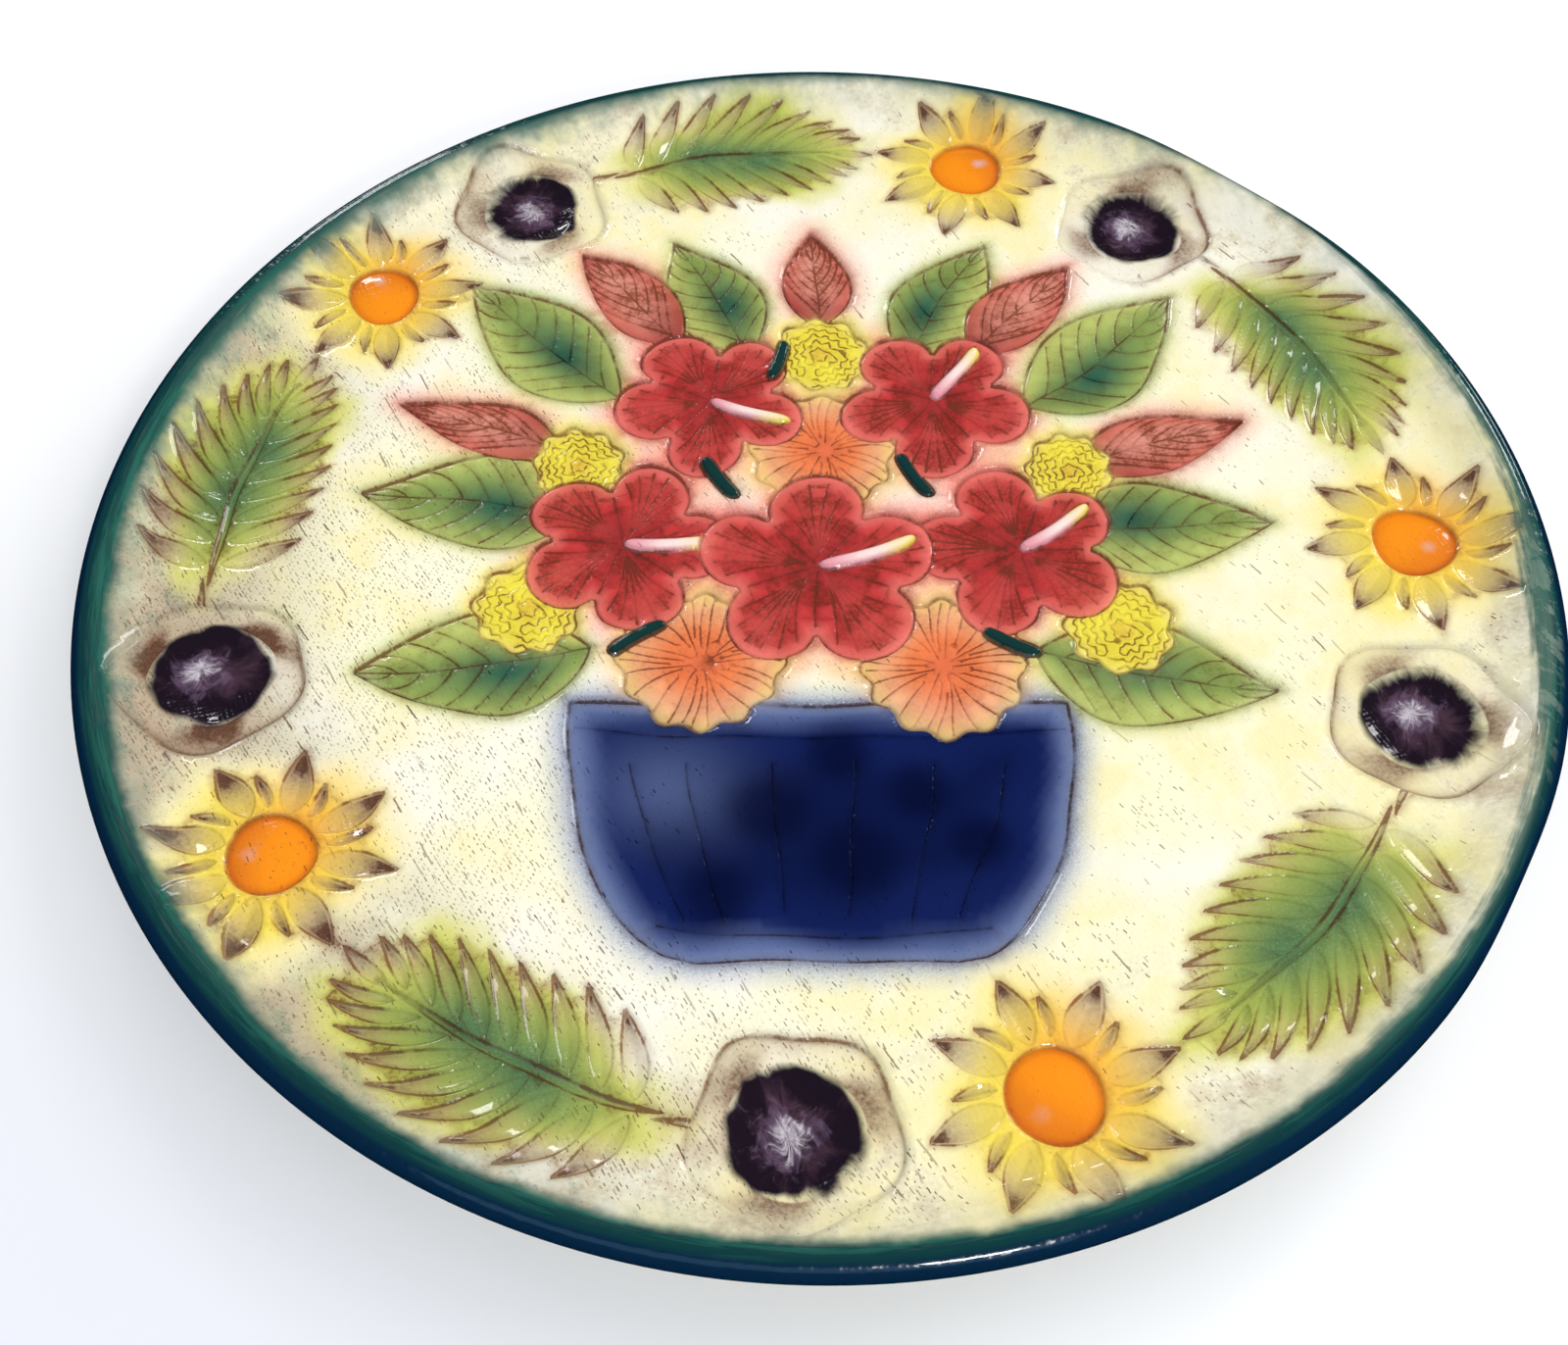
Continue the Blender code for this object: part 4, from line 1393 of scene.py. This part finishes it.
def with_wash(tree, at, colour, ink):
    """The brown wash, in the lines and softly round them, and where it gathers."""
    wavering = at.cut + (at.fine - 0.5) * 1.3
    patchy = 0.4 + tree.noise(at.place, 0.12, 3, 0.6).rise(0.36, 0.62) * 0.75
    line = wavering.rise(1.35, 0.4) * (0.7 + at.grit * 0.5)
    soft_wash = wavering.rise(5.5, 0.5) * 0.42
    line_colour = tree.mix(tree.mix(colour, THIN_WASH, 1.0, "MULTIPLY"), ink, line * 0.45)
    kept = (line + soft_wash) * at.strength * patchy * (1 + at.left * 0.4)
    colour = tree.mix(colour, line_colour, kept.held())
    stained = (at.stain * (0.65 + at.fine * 0.7) * (1 + at.left * 0.5)).held()
    stain_colour = tree.mix(FAWN, BROWN, (stained * 1.3 - 0.35 + (at.grit - 0.5) * 0.5).held())
    return tree.mix(colour, stain_colour, (stained * 1.15).held())


def with_dark_hearts(tree, at, colour):
    """The dark blossoms: an uneven purple disc with pale wisps that curl out of its middle."""
    u, v, near = tree.parts(tree.attribute("heart").socket("Vector"))
    each = tree.noise(at.place, 0.008, 0)
    warp = tree.noise(tree.vector(u * 0.11, v * 0.11, each * 40), 1.0, 1, 0.5)
    off_u = u + (each - 0.5) * 9 + (warp - 0.5) * 7
    off_v = v - (each - 0.5) * 7 + (warp - 0.5) * 5
    inner = (off_u * off_u + off_v * off_v) ** 0.5
    around_u, around_v = off_u / inner.greatest(0.6), off_v / inner.greatest(0.6)
    curl = tree.vector(around_u * 5 + inner * 0.12, around_v * 5, inner * 0.12 + each * 20)
    threads = tree.noise(curl, 1.0, 3, 0.65, 0.6)
    reach = (u * u + v * v) ** 0.5
    side = (u * 0.7 + v * 0.5) / reach.greatest(1)
    fuzz = (side + (each - 0.5) * 4).rise(-0.2, 0.8)
    edge = reach + (warp - 0.5) * 4.5 + (threads - 0.5) * fuzz * 4.5
    disc = (1 - edge.rise(DARK_RADIUS - 1.1 - fuzz * 2.2, DARK_RADIUS + 1.1 + fuzz * 1.2)) * near
    ruddy = (threads * 0.5 + warp * 0.7 + reach.rise(12, 4) * 0.2).rise(0.58, 0.95)
    dark = tree.mix(PLUM, AUBERGINE, ruddy * 0.9)
    cloud = tree.noise(tree.vector(off_u * 0.22, off_v * 0.22, each * 60), 1.0, 3, 0.65, 1.2)
    dark = tree.mix(dark, MAUVE, (cloud * 1.1 + inner.rise(12, 2) * 0.45).rise(0.72, 1.05) * 0.8)
    pale = threads * 0.75 + cloud * 0.65 + inner.rise(9, 0.5) * 0.6 + (at.fine - 0.5) * 0.25
    feather = pale.rise(1.02, 1.45) * inner.rise(10.5, 4) * near * 0.9
    return tree.mix(tree.mix(colour, dark, disc), LILAC, feather), near


def with_brushed_rim(tree, at, colour):
    """Teal brushed over the rim, ragged and worn in places, over a haze, with navy on the outer roll and
    painted glints.
    """
    x, y, reach = at.outward_x, at.outward_y, at.reach
    brush = tree.noise(tree.vector(x * 7, y * 7, reach * 0.75), 1.0, 4, 0.65)
    broad_brush = tree.noise(tree.vector(x * 3.5, y * 3.5), 1.0, 3)
    ragged = tree.noise(tree.vector(x * 30, y * 30, reach * 0.2), 1.0, 2, 0.6)
    above = at.z.rise(8, 12)
    leftward = (x * -1 + y * 0.2).rise(0.1, 0.95)
    rightward = x.rise(0.4, 0.95)
    backward = y.rise(0.1, 0.9)
    # A patch on the right where the band is wider and pale streaks are painted glints
    glint_patch = (y + 0.2).size().rise(0.32, 0.04) * x.rise(0.8, 0.9)
    start = 182.6 - leftward * 2 - glint_patch * 3 + backward * 1.2 + rightward
    start = start - (broad_brush - 0.5) * 5 - (ragged - 0.5) * 2
    haze = (reach - start + 5 + (at.scrub - 0.5) * 8 + (ragged - 0.5) * 9).rise(-3, 9) * above
    colour = tree.mix(colour, SLATE, haze * (0.3 + leftward * 0.45 + backward * 0.25))
    softness = 1.8 + backward * 1.2
    teal = (reach - start + (brush - 0.5) * rightward * 7).rise(softness * -1, softness) * above
    deep = brush.rise(0.4, 0.62) * 0.8 + reach.rise(182.5, 186.5) * 0.8 - rightward * 0.3
    thin = ((brush - 0.42) * 3 + backward * 0.5 + rightward * 0.6 - 0.35).held() * reach.rise(186, 184)
    outer_roll = (reach - (at.z - PLATE_HEIGHT) * 0.8 - backward * 4).rise(185.8, 188.5)
    rim = tree.mix(TEAL, DEEP_TEAL, deep.held())
    # Slate where the teal is brushed thin, and pale streaks in the patch on the right as painted glints
    rim = tree.mix(rim, SLATE, thin * 0.5 + glint_patch * at.scrub.rise(0.52, 0.6) * 0.5)
    rim = tree.mix(rim, NAVY, outer_roll)
    return tree.mix(colour, rim, teal)


def along_cloth(at, degrees):
    """One set of the cloth's threads, as a wave across them."""
    tilt = math.radians(degrees)
    phase = (at.x * math.cos(tilt) + at.y * math.sin(tilt)) * (TURN / THREAD_PITCH)
    return phase.sine()


def relief(tree, at, near_heart):
    """The finest relief: the lines' grooves, the cloth, the grain and a slow swell."""
    groove = (at.cut * at.cut * -0.55).exponential() * at.strength * -0.22
    cloth = (along_cloth(at, 24) + along_cloth(at, 114)) * 0.012 * at.reach.rise(178, 168)
    grain = (at.fine - 0.5) * (0.09 - near_heart * 0.06 - at.reach.rise(179, 183) * 0.07)
    height = groove + cloth + grain + (tree.noise(at.place, 0.22, 2) - 0.5) * 0.5
    bump = tree.node("ShaderNodeBump", {}, {"Strength": 0.9, "Distance": MM, "Height": height})
    return bump.socket("Normal")


def glazed_clay():
    """The plate's one material: painted ground, airbrushed figures, brown wash, brushed rim and glaze."""
    material = bpy.data.materials.new("glazed clay")
    tree = Tree(material)
    at = Face(tree)
    # The airbrushed colour is grainy where it thins out
    grainy = at.cover * 1.12 + (at.grit - 0.5) * at.cover * (1.1 - at.cover) * 2.6
    colour = tree.mix(bare_ground(tree, at), at.paint, grainy.held())
    # Brown ink wouldn't show on blue, and is dark there
    red, _, blue = tree.parts(at.paint)
    ink = tree.mix(BROWN, MIDNIGHT, (blue - red).rise(0.002, 0.02) * at.cover)
    colour = with_cloth_marks(tree, at, colour, ink)
    colour = with_wash(tree, at, colour, ink)
    colour, near_heart = with_dark_hearts(tree, at, colour)
    colour = with_brushed_rim(tree, at, colour)
    # The foot ring's flat face has no glaze
    bare = at.z.rise(0.6, 0.2)
    looks = {
        "Base Color": tree.mix(colour, BISQUE, bare),
        "Roughness": 0.16 + (at.fine - 0.5) * 0.08 + bare * 0.6 + at.cloudy * 0.05,
        "Coat Weight": 1 - bare,
        "Coat Roughness": 0.035,
        "Coat IOR": 1.5,
        "Specular IOR Level": 0.4,
        "Normal": relief(tree, at, near_heart),
    }
    for name, value in looks.items():
        tree.set(tree.shader.inputs[name], value)
    return material


# The set


def floor():
    """A pale ground, large enough to fill every view, with painted shade towards the front left."""
    bm = bmesh.new()
    bmesh.ops.create_grid(bm, x_segments=1, y_segments=1, size=6.0)
    mesh = bpy.data.meshes.new("pale ground")
    bm.to_mesh(mesh)
    bm.free()
    ground = placed("pale_ground", mesh)
    material = bpy.data.materials.new("pale ground")
    tree = Tree(material)
    x, y, _ = tree.parts(tree.object_place())
    # Painted shade: the ground turns lavender grey towards the front left
    near = (x * -0.6 - y).rise(0.17, 0.36)
    tree.set(tree.shader.inputs["Base Color"], tree.mix(FLOOR_FAR, FLOOR_PAINTED_SHADE, near))
    tree.shader.inputs["Roughness"].default_value = 0.65
    mesh.materials.append(material)
    ground.visible_glossy = False


def soft_light(name, place, aim, size, power, colour, reflected):
    data = bpy.data.lights.new(name, "AREA")
    data.shape = "RECTANGLE"
    data.size, data.size_y = size
    data.energy = power
    data.color = colour
    lamp = placed(name, data)
    lamp.location = place
    lamp.rotation_euler = facing(Vector(aim) - Vector(place))
    lamp.visible_glossy = reflected


def studio():
    """Even light from all round, a window to the right, and small lamps that the glaze reflects."""
    world = bpy.data.worlds.new("pale room")
    bpy.context.scene.world = world
    world.use_nodes = True
    world.node_tree.nodes["Background"].inputs["Color"].default_value = ROOM_COLOUR
    world.node_tree.nodes["Background"].inputs["Strength"].default_value = ROOM_LIGHT
    world.cycles_visibility.glossy = False
    for lamp in LAMPS:
        soft_light(*lamp)
    bpy.context.scene.view_settings.view_transform = "Standard"


def camera():
    """The photograph's view, from its lens, place and direction."""
    data = bpy.data.cameras.new("camera")
    data.sensor_width = SENSOR_WIDTH
    data.lens = SENSOR_WIDTH * FOCAL_LENGTH / PHOTO_WIDTH
    viewer = placed("camera", data)
    x, y, z = VIEWPOINT
    viewer.location = (x, y, z + PLATE_HEIGHT * MM)
    viewer.rotation_euler = facing(VIEW_DIRECTION)
    bpy.context.scene.camera = viewer


camera()
studio()
floor()
plate = make_plate()
plate.data.materials.append(glazed_clay())
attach(plate, "root")
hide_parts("plate")
